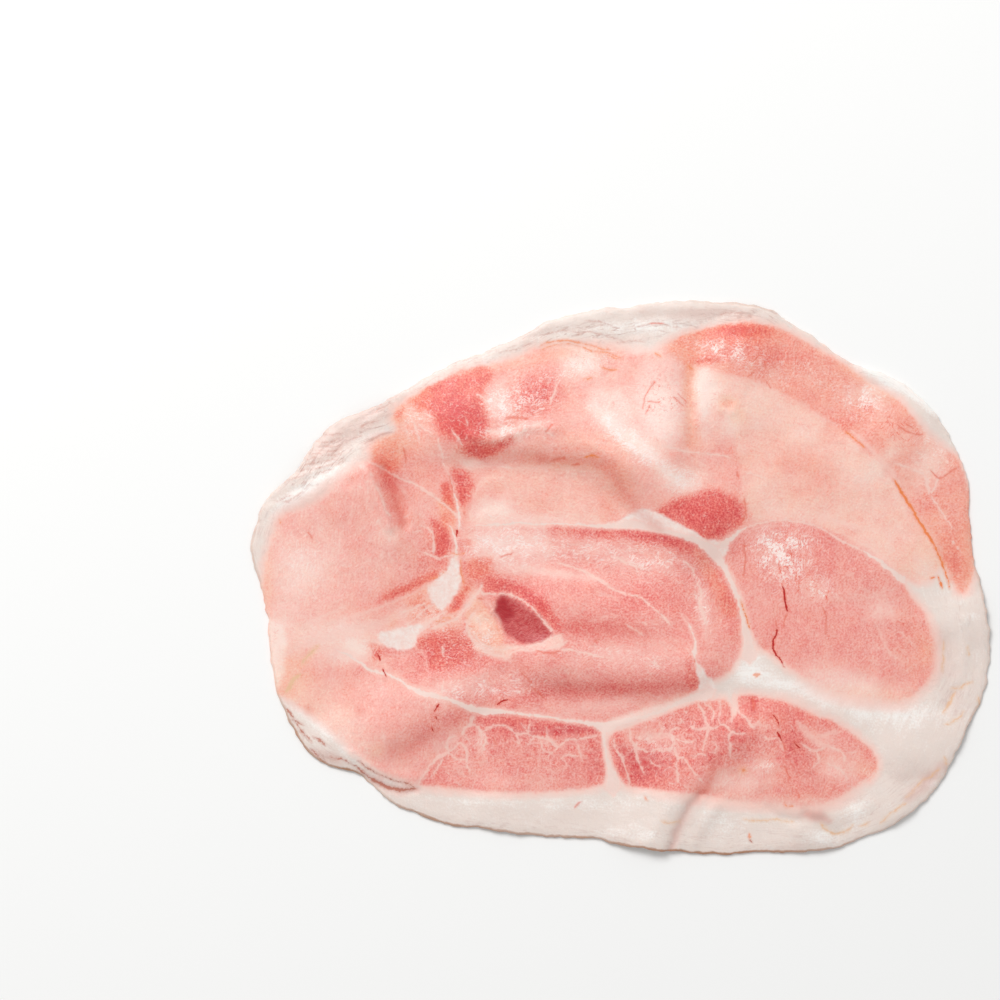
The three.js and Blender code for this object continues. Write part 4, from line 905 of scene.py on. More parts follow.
def depth_in(at, outline):
    """How deep each point lies inside a closed outline, in mm, and negative outside it."""
    loop = smooth_path(outline, closed=True)
    near = close_to(at, loop, OUTLINE_REACH)
    place = at[near]
    nearest = np.full(len(near), np.inf)
    inside = np.zeros(len(near), bool)
    for start, end in zip(loop, np.roll(loop, -1, axis=0)):
        side = end - start
        share = np.clip(((place - start) @ side) / (side @ side), 0, 1)
        gap = place - start - share[:, None] * side
        nearest = np.minimum(nearest, np.hypot(gap[:, 0], gap[:, 1]))
        if start[1] != end[1]:
            crossing = start[0] + (place[:, 1] - start[1]) * side[0] / side[1]
            inside ^= ((start[1] > place[:, 1]) != (end[1] > place[:, 1])) & (place[:, 0] < crossing)
    depth = np.full(len(at), -float(OUTLINE_REACH))
    depth[near] = np.where(inside, nearest, -np.minimum(nearest, OUTLINE_REACH))
    return depth * PIXEL_MM


def clear_of(path, other):
    """Whether two lines are far enough apart to share a channel."""
    gaps = np.linalg.norm(path[:, None, :2] - other[None, :, :2], axis=2)
    return (gaps - path[:, None, 2] - other[None, :, 2]).min() > CLEARANCE


def line_channels(drawn):
    """Sorts lines into channels. In one channel no line comes near another, as two would blend."""
    channels = []
    for strength, lines in drawn.values():
        for line in lines:
            path = smooth_path(line, closed=False)
            for channel in channels:
                if all(clear_of(path, other) for _, other in channel):
                    channel.append((strength, path))
                    break
            else:
                channels.append([(strength, path)])
    return channels


def pieces_of(path, place):
    """For each straight piece of a path: the piece's share at each point's foot, the signed way
    beside it, the gap past its ends, and whether that gap is past the whole path's end."""
    for k, (start, end) in enumerate(zip(path[:-1], path[1:])):
        length = math.hypot(*(end - start)[:2])
        way = (end - start)[:2] / length
        ahead = (place - start[:2]) @ way
        sideways = way[0] * (place - start[:2])[:, 1] - way[1] * (place - start[:2])[:, 0]
        foot = np.clip(ahead, 0, length)
        gap = ahead - foot
        past_end = ((gap < 0) & (k == 0)) | ((gap > 0) & (k == len(path) - 2))
        half = start[2] + (end[2] - start[2]) * foot / length
        yield half, sideways, gap, past_end


def beside_lines(at, channel):
    """For each point: the signed way to the channel's line, the line's half width there, both in mm,
    and its strength. The half width runs out past the ends and far beside a line."""
    reach = max(path[:, 2].max() for _, path in channel) + CLEARANCE
    found = np.tile([reach, -reach, 0.0], (len(at), 1))
    most_inside = np.full(len(at), -float(reach))
    for strength, path in channel:
        near = close_to(at, path, reach)
        for half, sideways, gap, past_end in pieces_of(path, at[near]):
            away = np.hypot(sideways, gap)
            offset = np.where(past_end, sideways, np.where(sideways < 0, -away, away))
            width = half - np.where(past_end, np.abs(gap), 0)
            width -= TAPER_SLOPE * np.maximum(0, away - half - TAPER_FROM)
            better = half - away > most_inside[near]
            chosen = near[better]
            most_inside[chosen] = (half - away)[better]
            found[chosen, 0] = offset[better]
            found[chosen, 1] = width[better]
            found[chosen, 2] = strength
    found[:, :2] *= PIXEL_MM
    return found


def ridges(at, drawn):
    """The sum of soft ridges and valleys at each point, as heights or as strengths."""
    height = np.zeros(len(at))
    for top, line in drawn:
        path = smooth_path(line, closed=False)
        near = close_to(at, path, RIDGE_REACH * path[:, 2].max())
        share = np.zeros(len(near))
        for half, sideways, gap, _ in pieces_of(path, at[near]):
            share = np.maximum(share, np.exp(-(sideways**2 + gap**2) / half**2))
        height[near] += top * share
    return height


def blots(at, spots):
    """The sum of soft elliptic blots."""
    total = np.zeros(len(at))
    for x, y, wide, high, turn, strength in spots:
        cos, sin = math.cos(math.radians(turn)), math.sin(math.radians(turn))
        dx, dy = at[:, 0] - x, y - at[:, 1]
        u, v = (dx * cos + dy * sin) / wide, (dy * cos - dx * sin) / high
        total += strength * np.exp(-(u**2 + v**2))
    return total


def soft_step(value, low, high):
    """Goes smoothly from 0 to 1 while the value goes from low to high."""
    share = np.clip((value - low) / (high - low), 0, 1)
    return share * share * (3 - 2 * share)


def waver(at_mm, size, seed):
    """Smooth random relief from -1 to 1, whose swells are about size across."""
    lattice = np.random.default_rng(seed).uniform(-1, 1, (LATTICE, LATTICE))
    place = at_mm / size
    cell = np.floor(place).astype(int)
    share = place - cell
    share = share * share * (3 - 2 * share)
    i, j = cell[:, 0] % LATTICE, cell[:, 1] % LATTICE
    i2, j2 = (i + 1) % LATTICE, (j + 1) % LATTICE
    low = lattice[i, j] * (1 - share[:, 0]) + lattice[i2, j] * share[:, 0]
    high = lattice[i, j2] * (1 - share[:, 0]) + lattice[i2, j2] * share[:, 0]
    return low * (1 - share[:, 1]) + high * share[:, 1]


# ---- The mesh ----

WELD = 0.002 * MM  # the solid's corners that lie this close together are one
KEEP_QUADS = 2.0  # how strongly triangles pair up as their neighbours do
SUBDIVISIONS = 2
UPRIGHT_NORMAL = 0.25  # a normal's rise below which its point is on the rim's side
FRAY = 2.2  # pixels by which small areas' edges waver
FRAY_SWELLS = ((2.3, 31), (2.6, 32))  # size in mm and seed, along and across
SPOT_EDGE = (-0.4, 0.7)  # depths in mm over which the dark spot comes in
CORE_EDGE = (-1.2, 0.9)

# Relief: height or shift in mm, size of the swells in mm, seed
RAGGED_RIM = [(0.42, 3.4, 11), (0.26, 1.5, 12)]
ROUGH = [(0.09, 6.5, 21), (0.07, 2.8, 22)]
GLINT_ROUGH = (0.06, 1.5, 23)
FAT_SWELLS = (0.24, 11, 26)
CRINKLE_BEND = (1.5, 5, 24)
CRINKLES = (0.09, 4.2, 25)
RAGGED_DEPTH = 1.6  # mm in from the rim over which the raggedness dies away
DOME = 0.14  # mm by which meat and fat rise beside the line between them
DOME_WIDTH = 1.8
FAT_FROM_MEAT = 2.5  # mm out from the meat where the fat's swells are full
RELIEF_EDGE = (0.2, 2.5)  # mm in from the rim over which the relief comes in

FIELD_BLOTS = {
    "glint": GLINT_BLOTS, "marble": MARBLE_BLOTS, "fat_pink_and_shade": FAT_PINK_AND_SHADE_BLOTS,
    "fat_bright_and_highlight": FAT_BRIGHT_AND_HIGHLIGHT_BLOTS, "crinkle": CRINKLE_BLOTS, "cracked": CRACKED_BLOTS,
    "soft_edge": SOFT_EDGE_BLOTS, "browned_edge": BROWNED_EDGE_BLOTS,
}
LINE_KINDS = {
    "pale": SEAM_LINES | SOFT_LINES, "crisp": CRISP_LINES, "red": RED_LINES,
    "orange": ORANGE_LINES, "brown": BROWN_LINES, "tan": TAN_LINES,
}


def add_object(name, data):
    made = bpy.data.objects.new(name, data)
    bpy.context.scene.collection.objects.link(made)
    return made


def fine_slice(node):
    """A fine, smooth copy of the solid's mesh."""
    mesh = node.data.copy()
    mesh.name = "ham_slice_fine"
    grid = bmesh.new()
    grid.from_mesh(mesh)
    bmesh.ops.remove_doubles(grid, verts=grid.verts, dist=WELD)
    bmesh.ops.join_triangles(
        grid, faces=grid.faces, angle_face_threshold=math.pi, angle_shape_threshold=math.pi,
        topology_influence=KEEP_QUADS,
    )
    grid.to_mesh(mesh)
    grid.free()
    for name in ("custom_normal", "sharp_edge", "sharp_face"):
        if name in mesh.attributes:
            mesh.attributes.remove(mesh.attributes[name])
    piece = add_object("ham_slice_meat", mesh)
    rounding = piece.modifiers.new("rounding", "SUBSURF")
    rounding.levels = rounding.render_levels = SUBDIVISIONS
    bpy.context.view_layer.objects.active = piece
    bpy.ops.object.modifier_apply(modifier=rounding.name)
    piece.data.polygons.foreach_set("use_smooth", np.ones(len(piece.data.polygons), bool))
    return piece


def read_vectors(source, name, count):
    """A vector of each of the source's items, as rows."""
    values = np.empty(3 * count)
    source.foreach_get(name, values)
    return values.reshape(-1, 3)


def rim_distance(places, normals):
    """How far each point lies from the slice's rim, in mm."""
    on_rim = np.flatnonzero(np.abs(normals[:, 2]) < UPRIGHT_NORMAL)
    tree = KDTree(len(on_rim))
    for i in on_rim:
        tree.insert((places[i, 0], places[i, 1], 0), i)
    tree.balance()
    return np.array([tree.find((x, y, 0))[2] for x, y in places[:, :2]]) / MM


def draw_tints(at, at_mm, rim):
    """The fields that tint and roughen the meat and the fat, by name."""
    tints = {name: np.full(len(at), float(value)) for name, value in PLAIN.items()}
    for muscle in MUSCLES.values():
        share = soft_step(depth_in(at, muscle["outline"]), -muscle["soft"], muscle["soft"])
        for name in PLAIN:
            tints[name] += (muscle[name] - tints[name]) * share
    frayed = at + np.stack([FRAY * waver(at_mm, size, seed) for size, seed in FRAY_SWELLS], axis=1)
    for red, peach, soft, outline in AREAS:
        share = soft_step(depth_in(frayed, outline), -soft, soft)
        tints["red"] += (red - tints["red"]) * share
        tints["peach"] += (peach - tints["peach"]) * share
    # Some red and peach blots paint warm shade along folds, and some pale blots paint highlights
    tints["red"] += blots(at, RED_AND_SHADE_BLOTS) - blots(at, PALE_AND_HIGHLIGHT_BLOTS)
    tints["peach"] += blots(at, PEACH_AND_SHADE_BLOTS)
    tints["spot"] = soft_step(depth_in(frayed, DARK_SPOT), *SPOT_EDGE)
    tints["deep"] = soft_step(depth_in(frayed, DARK_CORE), *CORE_EDGE)
    # Painted shade of the folds, a painted shadow under the lifted edge, and two brownish spots
    tints["shade"] = ridges(frayed, SHADES)
    tints["meat"] = np.max([depth_in(at, outline) for outline in MEAT.values()], axis=0)
    tints["patch"] = np.max([depth_in(at, outline) for outline in FAT_PATCHES], axis=0)
    tints["rim"] = rim
    for name, spots in FIELD_BLOTS.items():
        tints[name] = blots(at, spots)
    return tints


def draw_lines(mesh, at):
    """Stores each kind's lines as channels on the mesh, and gives each kind's number of channels."""
    counts = {}
    for kind, drawn in LINE_KINDS.items():
        channels = line_channels(drawn)
        counts[kind] = len(channels)
        for i, channel in enumerate(channels):
            attribute = mesh.attributes.new(f"{kind}_{i}", "FLOAT_VECTOR", "POINT")
            attribute.data.foreach_set("vector", beside_lines(at, channel).ravel().astype(np.float32))
    return counts


def store_tints(mesh, tints):
    """Puts the fields on the mesh, for the material to read by name."""
    for name, values in tints.items():
        attribute = mesh.attributes.new(name, "FLOAT", "POINT")
        attribute.data.foreach_set("value", values.astype(np.float32))


def swells(at_mm, height, size, seed):
    return height * waver(at_mm, size, seed)


def carve(places, normals, tints, at, at_mm):
    """Gives the mesh its ragged rim, its small folds and its fine relief."""
    outward = places[:, :2] / np.linalg.norm(places[:, :2], axis=1)[:, None]
    ragged = sum(swells(at_mm, *swell) for swell in RAGGED_RIM)
    near_rim = np.exp(-tints["rim"] / RAGGED_DEPTH)
    carved = places.copy()
    carved[:, :2] += outward * (ragged * near_rim * MM)[:, None]

    domed = DOME * (1 - np.exp(-np.abs(tints["meat"]) / DOME_WIDTH))
    rough = sum(swells(at_mm, *swell) for swell in ROUGH)
    rough += np.clip(tints["glint"], 0, 1) * swells(at_mm, *GLINT_ROUGH)
    rough += soft_step(-tints["meat"], 0, FAT_FROM_MEAT) * swells(at_mm, *FAT_SWELLS)
    bent = at_mm + swells(at_mm, *CRINKLE_BEND)[:, None]
    height, size, seed = CRINKLES
    rough += height * np.clip(tints["crinkle"], 0, 1) * (1 - 2 * np.abs(waver(bent, size, seed)))
    relief = (domed + rough) * soft_step(tints["rim"], *RELIEF_EDGE)
    carved += normals * (relief * MM)[:, None]
    carved[:, 2] += (ridges(at, RELIEF) + ridges(at, WRINKLES)) * MM
    carved[:, 2] = np.maximum(carved[:, 2], 0)
    return carved


def make_slice():
    """The slice that stands in for the solid, with its fields, relief and material."""
    piece = fine_slice(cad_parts["ham_slice"])
    mesh = piece.data
    count = len(mesh.vertices)
    places = read_vectors(mesh.vertices, "co", count)
    normals = read_vectors(mesh.vertices, "normal", count)
    at_mm = places[:, :2] / MM
    at = np.stack([SLICE_PX[0] + at_mm[:, 0] / PIXEL_MM, SLICE_PX[1] - at_mm[:, 1] / PIXEL_MM], axis=1)
    tints = draw_tints(at, at_mm, rim_distance(places, normals))
    mesh.vertices.foreach_set("co", carve(places, normals, tints, at, at_mm).ravel())
    store_tints(mesh, tints)
    line_counts = draw_lines(mesh, at)
    mesh.update()
    mesh.materials.clear()
    mesh.materials.append(ham_material(line_counts))
    return piece


# ---- The material ----

def colour(red, green, blue):
    """A colour from its 0 to 255 values on screen, as the linear values that a shader takes."""
    shown = np.array([red, green, blue]) / 255
    linear = np.where(shown > 0.04045, ((shown + 0.055) / 1.055) ** 2.4, shown / 12.92)
    return (*linear.tolist(), 1.0)


LINE_CORE = 0.2  # the part of a thin line's half width over which it is full
EDGE_CORE = 0.1  # and of an edge between cells
HALO_REACH = 4  # how many times its softness a drawn line's halo reaches out
HALO_STRENGTH = 0.42
STREAK_ROUGHNESS = 0.6


class Wiring:
    """Adds a material's nodes by short calls, each of which returns the socket that it makes."""

    def __init__(self, name):
        self.material = bpy.data.materials.new(name)
        self.material.use_nodes = True
        self.tree = self.material.node_tree
        self.tree.nodes.clear()

    def feed(self, socket, value):
        """Links a socket to an input, or sets a plain value on it."""
        if isinstance(value, bpy.types.NodeSocket):
            self.tree.links.new(value, socket)
        else:
            socket.default_value = value

    def node(self, kind, inputs, **settings):
        """Adds a node, with its settings and what feeds its inputs."""
        made = self.tree.nodes.new(kind)
        for name, value in settings.items():
            setattr(made, name, value)
        for name, value in inputs.items():
            self.feed(made.inputs[name], value)
        return made

    def math(self, operation, *values, clamp=False):
        inputs = dict(enumerate(values))
        return self.node("ShaderNodeMath", inputs, operation=operation, use_clamp=clamp).outputs[0]

    def total(self, *values):
        summed = values[0]
        for value in values[1:]:
            summed = self.math("ADD", summed, value)
        return summed

    def centred(self, value, size):
        """A value from 0 to 1 as one from minus to plus half the size."""
        return self.math("MULTIPLY_ADD", value, size, -size / 2)

    def field(self, name):
        return self.node("ShaderNodeAttribute", {}, attribute_name=name).outputs["Fac"]

    def step(self, value, low, high, start=0.0, end=1.0):
        """Goes smoothly from start to end while the value goes from low to high."""
        inputs = {0: value, 1: low, 2: high, 3: start, 4: end}
        return self.node("ShaderNodeMapRange", inputs, interpolation_type="SMOOTHSTEP").outputs[0]

    def blend(self, share, below, above):
        """Goes from one number to another with the share."""
        return self.node("ShaderNodeMix", {0: share, 2: below, 3: above}, data_type="FLOAT").outputs[0]

    def mix(self, share, below, above):
        """Goes from one colour to another with the share."""
        inputs = {0: share, 6: below, 7: above}
        return self.node("ShaderNodeMix", inputs, data_type="RGBA").outputs[2]

    def noise(self, place, size, detail=2.0, roughness=0.5, output=0):
        """Flat noise from 0 to 1 with swells of about size, in mm."""
        inputs = {"Vector": place, "Scale": 1 / size, "Detail": detail, "Roughness": roughness}
        return self.node("ShaderNodeTexNoise", inputs, noise_dimensions="2D").outputs[output]

    def streaks(self, place, turn, long, short, detail):
        """Noise of streaks that lie at an angle, in degrees, with their length and width in mm."""
        inputs = {"Vector": place, "Rotation": (0.0, 0.0, math.radians(turn)), "Scale": (long, short, 1.0)}
        turned = self.node("ShaderNodeMapping", inputs, vector_type="TEXTURE").outputs[0]
        return self.noise(turned, 1.0, detail, STREAK_ROUGHNESS)

    def warped(self, place, size, shift):
        """The place moved to and fro by about shift, over swells of about size."""
        swell = self.noise(place, size, 2.0, output=1)
        inputs = {0: swell, 1: (shift, shift, 0.0), 2: place}
        return self.node("ShaderNodeVectorMath", inputs, operation="MULTIPLY_ADD").outputs[0]

    def grained(self, place, turns, long, short, detail):
        """Streaks along the grain, which lies one way or upright, as each muscle's does."""
        lying, upright = (self.streaks(place, turn, long, short, detail) for turn in turns)
        return self.blend(self.field("upright"), lying, upright)

    def strongest(self, *values):
        top = values[0]
        for value in values[1:]:
            top = self.math("MAXIMUM", top, value)
        return top

    def thin_lines(self, noise, half):
        """1 where the noise passes its middle, as thin curling lines."""
        off_middle = self.math("ABSOLUTE", self.math("SUBTRACT", noise, 0.5))
        return self.step(off_middle, LINE_CORE * half, half, 1.0, 0.0)

    def cell_edges(self, place, size, half):
        """1 on the edges between cells of about size, in mm."""
        inputs = {"Vector": place, "Scale": 1 / size}
        made = self.node("ShaderNodeTexVoronoi", inputs, feature="DISTANCE_TO_EDGE",
                         voronoi_dimensions="2D")
        return self.step(made.outputs["Distance"], EDGE_CORE * half / size, half / size, 1.0, 0.0)

    def drawn_lines(self, kind, count, wobble, thinning, softness):
        """How strongly the drawn lines of a kind lie on each point, from 0 to 1."""
        found = []
        for i in range(count):
            channel = self.node("ShaderNodeAttribute", {}, attribute_name=f"{kind}_{i}").outputs["Vector"]
            offset, width, strength = self.node("ShaderNodeSeparateXYZ", {0: channel}).outputs
            beside = self.math("ABSOLUTE", self.math("ADD", offset, wobble))
            inside = self.math("SUBTRACT", self.math("SUBTRACT", width, thinning), beside)
            core = self.step(inside, -softness, softness)
            halo = self.step(inside, -HALO_REACH * softness, softness, 0.0, HALO_STRENGTH)
            found.append(self.math("MULTIPLY", self.math("MAXIMUM", core, halo), strength))
        return self.strongest(0.0, *found)

    def shaded(self, share, unshaded, tint):
        """A colour darkened by a tint, as far as the share goes."""
        inputs = {0: share, 6: unshaded, 7: tint}
        return self.node("ShaderNodeMix", inputs, data_type="RGBA", blend_type="MULTIPLY").outputs[2]

    def ramp(self, value, stops):
        """Goes through the stops' colours with the value."""
        made = self.node("ShaderNodeValToRGB", {"Fac": value})
        elements = made.color_ramp.elements
        while len(elements) < len(stops):
            elements.new(0.5)
        for element, (place, shade) in zip(elements, stops):
            element.position = place
            element.color = shade
        return made.outputs["Color"]


# The meat from its palest to its reddest, pink and peach
ROSE = [
    (0.0, colour(251, 221, 211)), (0.28, colour(248, 197, 186)), (0.5, colour(243, 166, 155)),
    (0.75, colour(233, 116, 109)), (1.0, colour(214, 64, 68)),
]
PEACH = [
    (0.0, colour(252, 224, 208)), (0.28, colour(249, 201, 181)), (0.5, colour(246, 174, 151)),
    (0.75, colour(241, 134, 112)), (1.0, colour(230, 92, 78)),
]
SPOT_RED = colour(188, 50, 54)
DEEP_RED = colour(168, 12, 28)
# Multiplied in as painted shade of the folds and of the shadow under the lifted edge
FOLD_SHADE = colour(236, 178, 170)
GAP_RED = colour(236, 108, 88)
# Painted highlights where glints are drawn, and the meat's whitish flecks
GLINT_WHITE = colour(254, 234, 228)
VEIN = colour(248, 204, 192)
SEAM = colour(243, 214, 204)
FAT = colour(235, 219, 210)
# Whiter fat, also the colour of painted highlights on the fat
FAT_BRIGHT = colour(249, 243, 238)
# Pinkish fat, and painted shade in the fat's folds
FAT_PINK_AND_SHADE = colour(222, 192, 182)
# Painted shade in the fat's fine creases
WRINKLE_SHADE = colour(198, 160, 150)
# Crisp pale veins, also the colour of some painted glint strokes
CRISP = colour(246, 206, 194)
HAIRLINE = colour(228, 98, 70)
CRACK = colour(190, 20, 14)
DRIED = colour(238, 132, 74)
TAN = colour(234, 190, 152)
BROWN = colour(186, 134, 104)
# Browned cut edges, and the painted shadow under the lifted edge at the lower left
CUT_BROWN_AND_SHADOW = colour(186, 96, 68)


# Streaks in the meat: their turns in degrees where the grain lies along and where it is upright,
# their length and width in mm, and the noise's detail
FIBRES = ((-9, 76), 4.2, 0.95, 4)
STRANDS_ALONG = ((-14, 82), 2.4, 0.44, 3)
STRANDS_ACROSS = ((36, 44), 1.9, 0.44, 3)
GAPS = (-20, 3.4, 1.5, 3)

# How far each pattern moves the redness, of which 2 is the whole range from palest to reddest
MOTTLE_SWAY = 0.5
FINE_MOTTLE_SWAY = 0.28
FIBRE_SWAY = 0.5
STRAND_SWAY = -0.8
EDGE_PALING = (-0.4, 1.8, -0.22, 0.0)  # from depth to depth in mm, from sway to sway
PEACH_SWAY = 0.7
GRAIN_BY_REDNESS = (-0.2, 0.5, 0.5, 1.2)  # from redness to redness, from strength to strength

# Noises: size of the swells in mm, detail, and roughness where it isn't 0.5
BROAD_MOTTLE = (9.0, 3, 0.6)
FINE_MOTTLE = (2.4, 4, 0.6)
GRAIN = (0.66, 1)
PEACH_CLOUDS = (6.0, 3)
STRAND_PATCHES = (3.2, 2)  # where strands lie along the grain, and where they cross it
THREAD_CURLS = (3.6, 3, 0.6)
GAP_PATCHES = (4.4, 2)
GLINT_PATCHES = (3.8, 3, 0.6)
SPARK_SPECKS = (0.7, 3, 0.85)
NET_PATCHES = (5.5, 2)
SMALL_NET_PATCHES = (3.7, 2)
MARBLE_DOTS = (0.95, 1)
CRACKLE = (1.9, 2)
CRACKLE_PATCHES = (2.7, 2)
RIM_STREAKS = (1.3, 4, 0.62)
FAT_CLOUDS = (5.0, 4, 0.6)
PINK_CLOUDS = (11.0, 3)
FAT_WRINKLES = (2.2, 3, 0.6)
WRINKLE_PATCHES = (2.8, 2)
GRIT = (0.9, 3, 0.75)
WAVES = (3.2, 3, 0.6)
RIPPLES = (1.1, 2)
THINNING = (1.7, 3, 0.7)
FINE_BUMPS = (0.9, 3, 0.7)
BROAD_BUMPS = (3.0, 2)
# Warps: size of the swells and how far they shift, in mm
GRAIN_BEND = (7.0, 3.0)
NET_BEND = (2.6, 1.3)
BROAD_BEND = (5.0, 3.0)

THREAD_HALF = 0.035  # how near to its middle a noise makes a thread, a gap or a wrinkle
GAP_HALF = 0.022
WRINKLE_HALF = 0.055
NET_SIZE = 3.6
SMALL_NET_SIZE = 1.9
NET_SHARE = 0.8
RIM_RADIUS = 14.0  # mm along the rim that a radian round the slice stands for


def meat_redness(w, place, warped, depth, fibres, strands):
    """How red the meat is from 0 to 1: its drawn redness, moved by mottling, grain and fibres."""
    grain_strength = w.step(w.field("red"), *GRAIN_BY_REDNESS)
    redness = w.total(
        w.field("red"),
        w.centred(w.noise(warped, *BROAD_MOTTLE), MOTTLE_SWAY),
        w.centred(w.noise(place, *FINE_MOTTLE), FINE_MOTTLE_SWAY),
        w.centred(fibres, FIBRE_SWAY),
        w.centred(strands, STRAND_SWAY),
        w.math("MULTIPLY", w.centred(w.noise(place, *GRAIN), 1.0), grain_strength),
        w.step(depth, *EDGE_PALING),
    )
    return w.math("MULTIPLY_ADD", redness, 0.5, 0.5, clamp=True)


def white_glints(w, place, warped, fibres, strands):
    """Pale strands, patches and sparks where glints are drawn: partly painted highlights of the wet meat,
    partly its own whitish flecks.
    """
    patches = w.step(w.noise(warped, *GLINT_PATCHES), 0.34, 0.64, 0.4, 1.25)
    glint = w.math("MULTIPLY", w.field("glint"), patches)
    shine = w.step(w.math("MULTIPLY_ADD", glint, 0.07, strands), 0.58, 0.66)
    broad = w.step(w.math("MULTIPLY_ADD", glint, 0.06, fibres), 0.6, 0.72, 0.0, 0.5)
    specks = w.noise(place, *SPARK_SPECKS)
    sparks = w.step(w.math("MULTIPLY_ADD", glint, 0.06, specks), 0.6, 0.68)
    strongest = w.strongest(shine, broad, sparks)
    return w.math("MULTIPLY", strongest, w.math("MULTIPLY_ADD", glint, 0.6, 0.02, clamp=True))


def marbling(w, place, moved):
    """The net of fat in the marbled meat, with a finer net and dots in its gaps."""
    areas = w.step(w.noise(place, *NET_PATCHES), 0.42, 0.6)
    clear = w.math("MULTIPLY", w.cell_edges(moved, NET_SIZE, 0.42), areas)
    faint = w.math("MULTIPLY", w.cell_edges(moved, NET_SIZE, 1.4), 0.45)
    patches = w.step(w.noise(place, *SMALL_NET_PATCHES), 0.48, 0.64, 0.0, 0.5)
    small = w.math("MULTIPLY", w.cell_edges(moved, SMALL_NET_SIZE, 0.3), patches)
    dots = w.step(w.noise(place, *MARBLE_DOTS), 0.55, 0.66, 0.0, 0.8)
    share = w.math("MULTIPLY", w.field("marble"), NET_SHARE, clamp=True)
    return w.math("MULTIPLY", w.strongest(clear, faint, small, dots), share)


def meat_colour(w, place, warped, depth):
    """The muscles' pink, with its mottling, fibres, pale threads, red gaps, and white glints that are
    partly painted highlights.
    """
    fibres = w.grained(warped, *FIBRES)
    bent = w.warped(place, *GRAIN_BEND)
    crossing = w.step(w.noise(place, *STRAND_PATCHES), 0.42, 0.58)
    strands = w.blend(crossing, w.grained(bent, *STRANDS_ALONG), w.grained(bent, *STRANDS_ACROSS))
    redness = meat_redness(w, place, warped, depth, fibres, strands)
    peach_clouds = w.centred(w.noise(warped, *PEACH_CLOUDS), PEACH_SWAY)
    peach = w.math("ADD", w.field("peach"), peach_clouds, clamp=True)
    meat = w.mix(peach, w.ramp(redness, ROSE), w.ramp(redness, PEACH))

    threads = w.thin_lines(w.noise(warped, *THREAD_CURLS), THREAD_HALF)
    meat = w.mix(w.math("MULTIPLY", threads, w.step(fibres, 0.42, 0.62, 0.0, 0.42)), meat, VEIN)
    gaps = w.thin_lines(w.streaks(warped, *GAPS), GAP_HALF)
    gap_share = w.step(w.noise(place, *GAP_PATCHES), 0.56, 0.7, 0.0, 0.4)
    meat = w.mix(w.math("MULTIPLY", gaps, gap_share), meat, GAP_RED)
    # White glints: painted highlights of the wet meat, and its whitish flecks
    meat = w.mix(white_glints(w, place, warped, fibres, strands), meat, GLINT_WHITE)

    moved = w.warped(place, *NET_BEND)
    meat = w.mix(marbling(w, place, moved), meat, VEIN)
    crackle = w.thin_lines(w.noise(moved, *CRACKLE), THREAD_HALF)
    broken = w.math("MULTIPLY", crackle, w.step(w.noise(place, *CRACKLE_PATCHES), 0.44, 0.56))
    meat = w.mix(w.math("MULTIPLY", broken, w.field("cracked"), clamp=True), meat, GAP_RED)
    spot = w.math("MULTIPLY", w.field("spot"), w.step(strands, 0.35, 0.65, 1.0, 0.72))
    meat = w.mix(spot, meat, SPOT_RED)
    core = w.math("MULTIPLY", w.field("deep"), w.step(fibres, 0.3, 0.7, 1.0, 0.7))
    return w.mix(core, meat, DEEP_RED)


# Steps: from and to which value, and from and to which share where that isn't 0 to 1
BRIGHT_RANGE = (0.0, 0.45)
PINK_AND_SHADE_RANGE = (0.1, 1.1, 0.0, 0.85)
FAT_BESIDE_MEAT = (-3.0, 0.0, 0.0, 0.75)  # mm of depth, and the share of the seams' pink there


def fat_colour(w, place, warped, depth):
    """The fat, whose streaks follow the rim and which is crinkled and pinkish in places."""
    around = w.node("ShaderNodeVectorMath", {0: warped}, operation="NORMALIZE").outputs[0]
    x, y, _ = w.node("ShaderNodeSeparateXYZ", {0: around}).outputs
    along_rim = w.math("MULTIPLY", w.math("ARCTAN2", y, x), RIM_RADIUS)
    ring = w.node("ShaderNodeCombineXYZ", {0: along_rim, 1: w.field("rim")}).outputs[0]
    streaks = w.noise(ring, *RIM_STREAKS)
    crinkle = w.field("crinkle")
    bright = w.total(
        w.centred(streaks, 0.36),
        w.centred(w.noise(warped, *FAT_CLOUDS), 0.42),
        w.centred(w.noise(place, *GRAIN), 0.35),
        # Brighter fat, and painted highlights, where its blots lie
        w.math("MULTIPLY", w.field("fat_bright_and_highlight"), 0.5),
    )
    fat = w.mix(w.step(bright, *BRIGHT_RANGE), FAT, FAT_BRIGHT)
    pink_clouds = w.centred(w.noise(place, *PINK_CLOUDS), 0.7)
    # Pinker fat, and painted shade in the fat's folds
    pink_and_shade = w.total(w.field("fat_pink_and_shade"), pink_clouds, w.centred(streaks, 0.4))
    fat = w.mix(w.step(pink_and_shade, *PINK_AND_SHADE_RANGE), fat, FAT_PINK_AND_SHADE)
    fat = w.mix(w.step(depth, *FAT_BESIDE_MEAT), fat, VEIN)
    # Painted shade in the fat's fine creases, strongest where the fat is crinkled
    wrinkle_shade = w.thin_lines(w.noise(ring, *FAT_WRINKLES), WRINKLE_HALF)
    patches = w.step(w.noise(place, *WRINKLE_PATCHES), 0.4, 0.58, 0.25, 1.0)
    wrinkle_shade = w.math("MULTIPLY", wrinkle_shade, patches)
    wrinkle_shade = w.math("MULTIPLY", wrinkle_shade, w.math("MULTIPLY_ADD", crinkle, 0.85, 0.03, clamp=True))
    fat = w.mix(wrinkle_shade, fat, WRINKLE_SHADE)
    grit = w.step(w.noise(place, *GRIT), 0.56, 0.7, 0.0, 0.5)
    return w.mix(w.math("MULTIPLY", grit, crinkle, clamp=True), fat, FAT_BRIGHT)


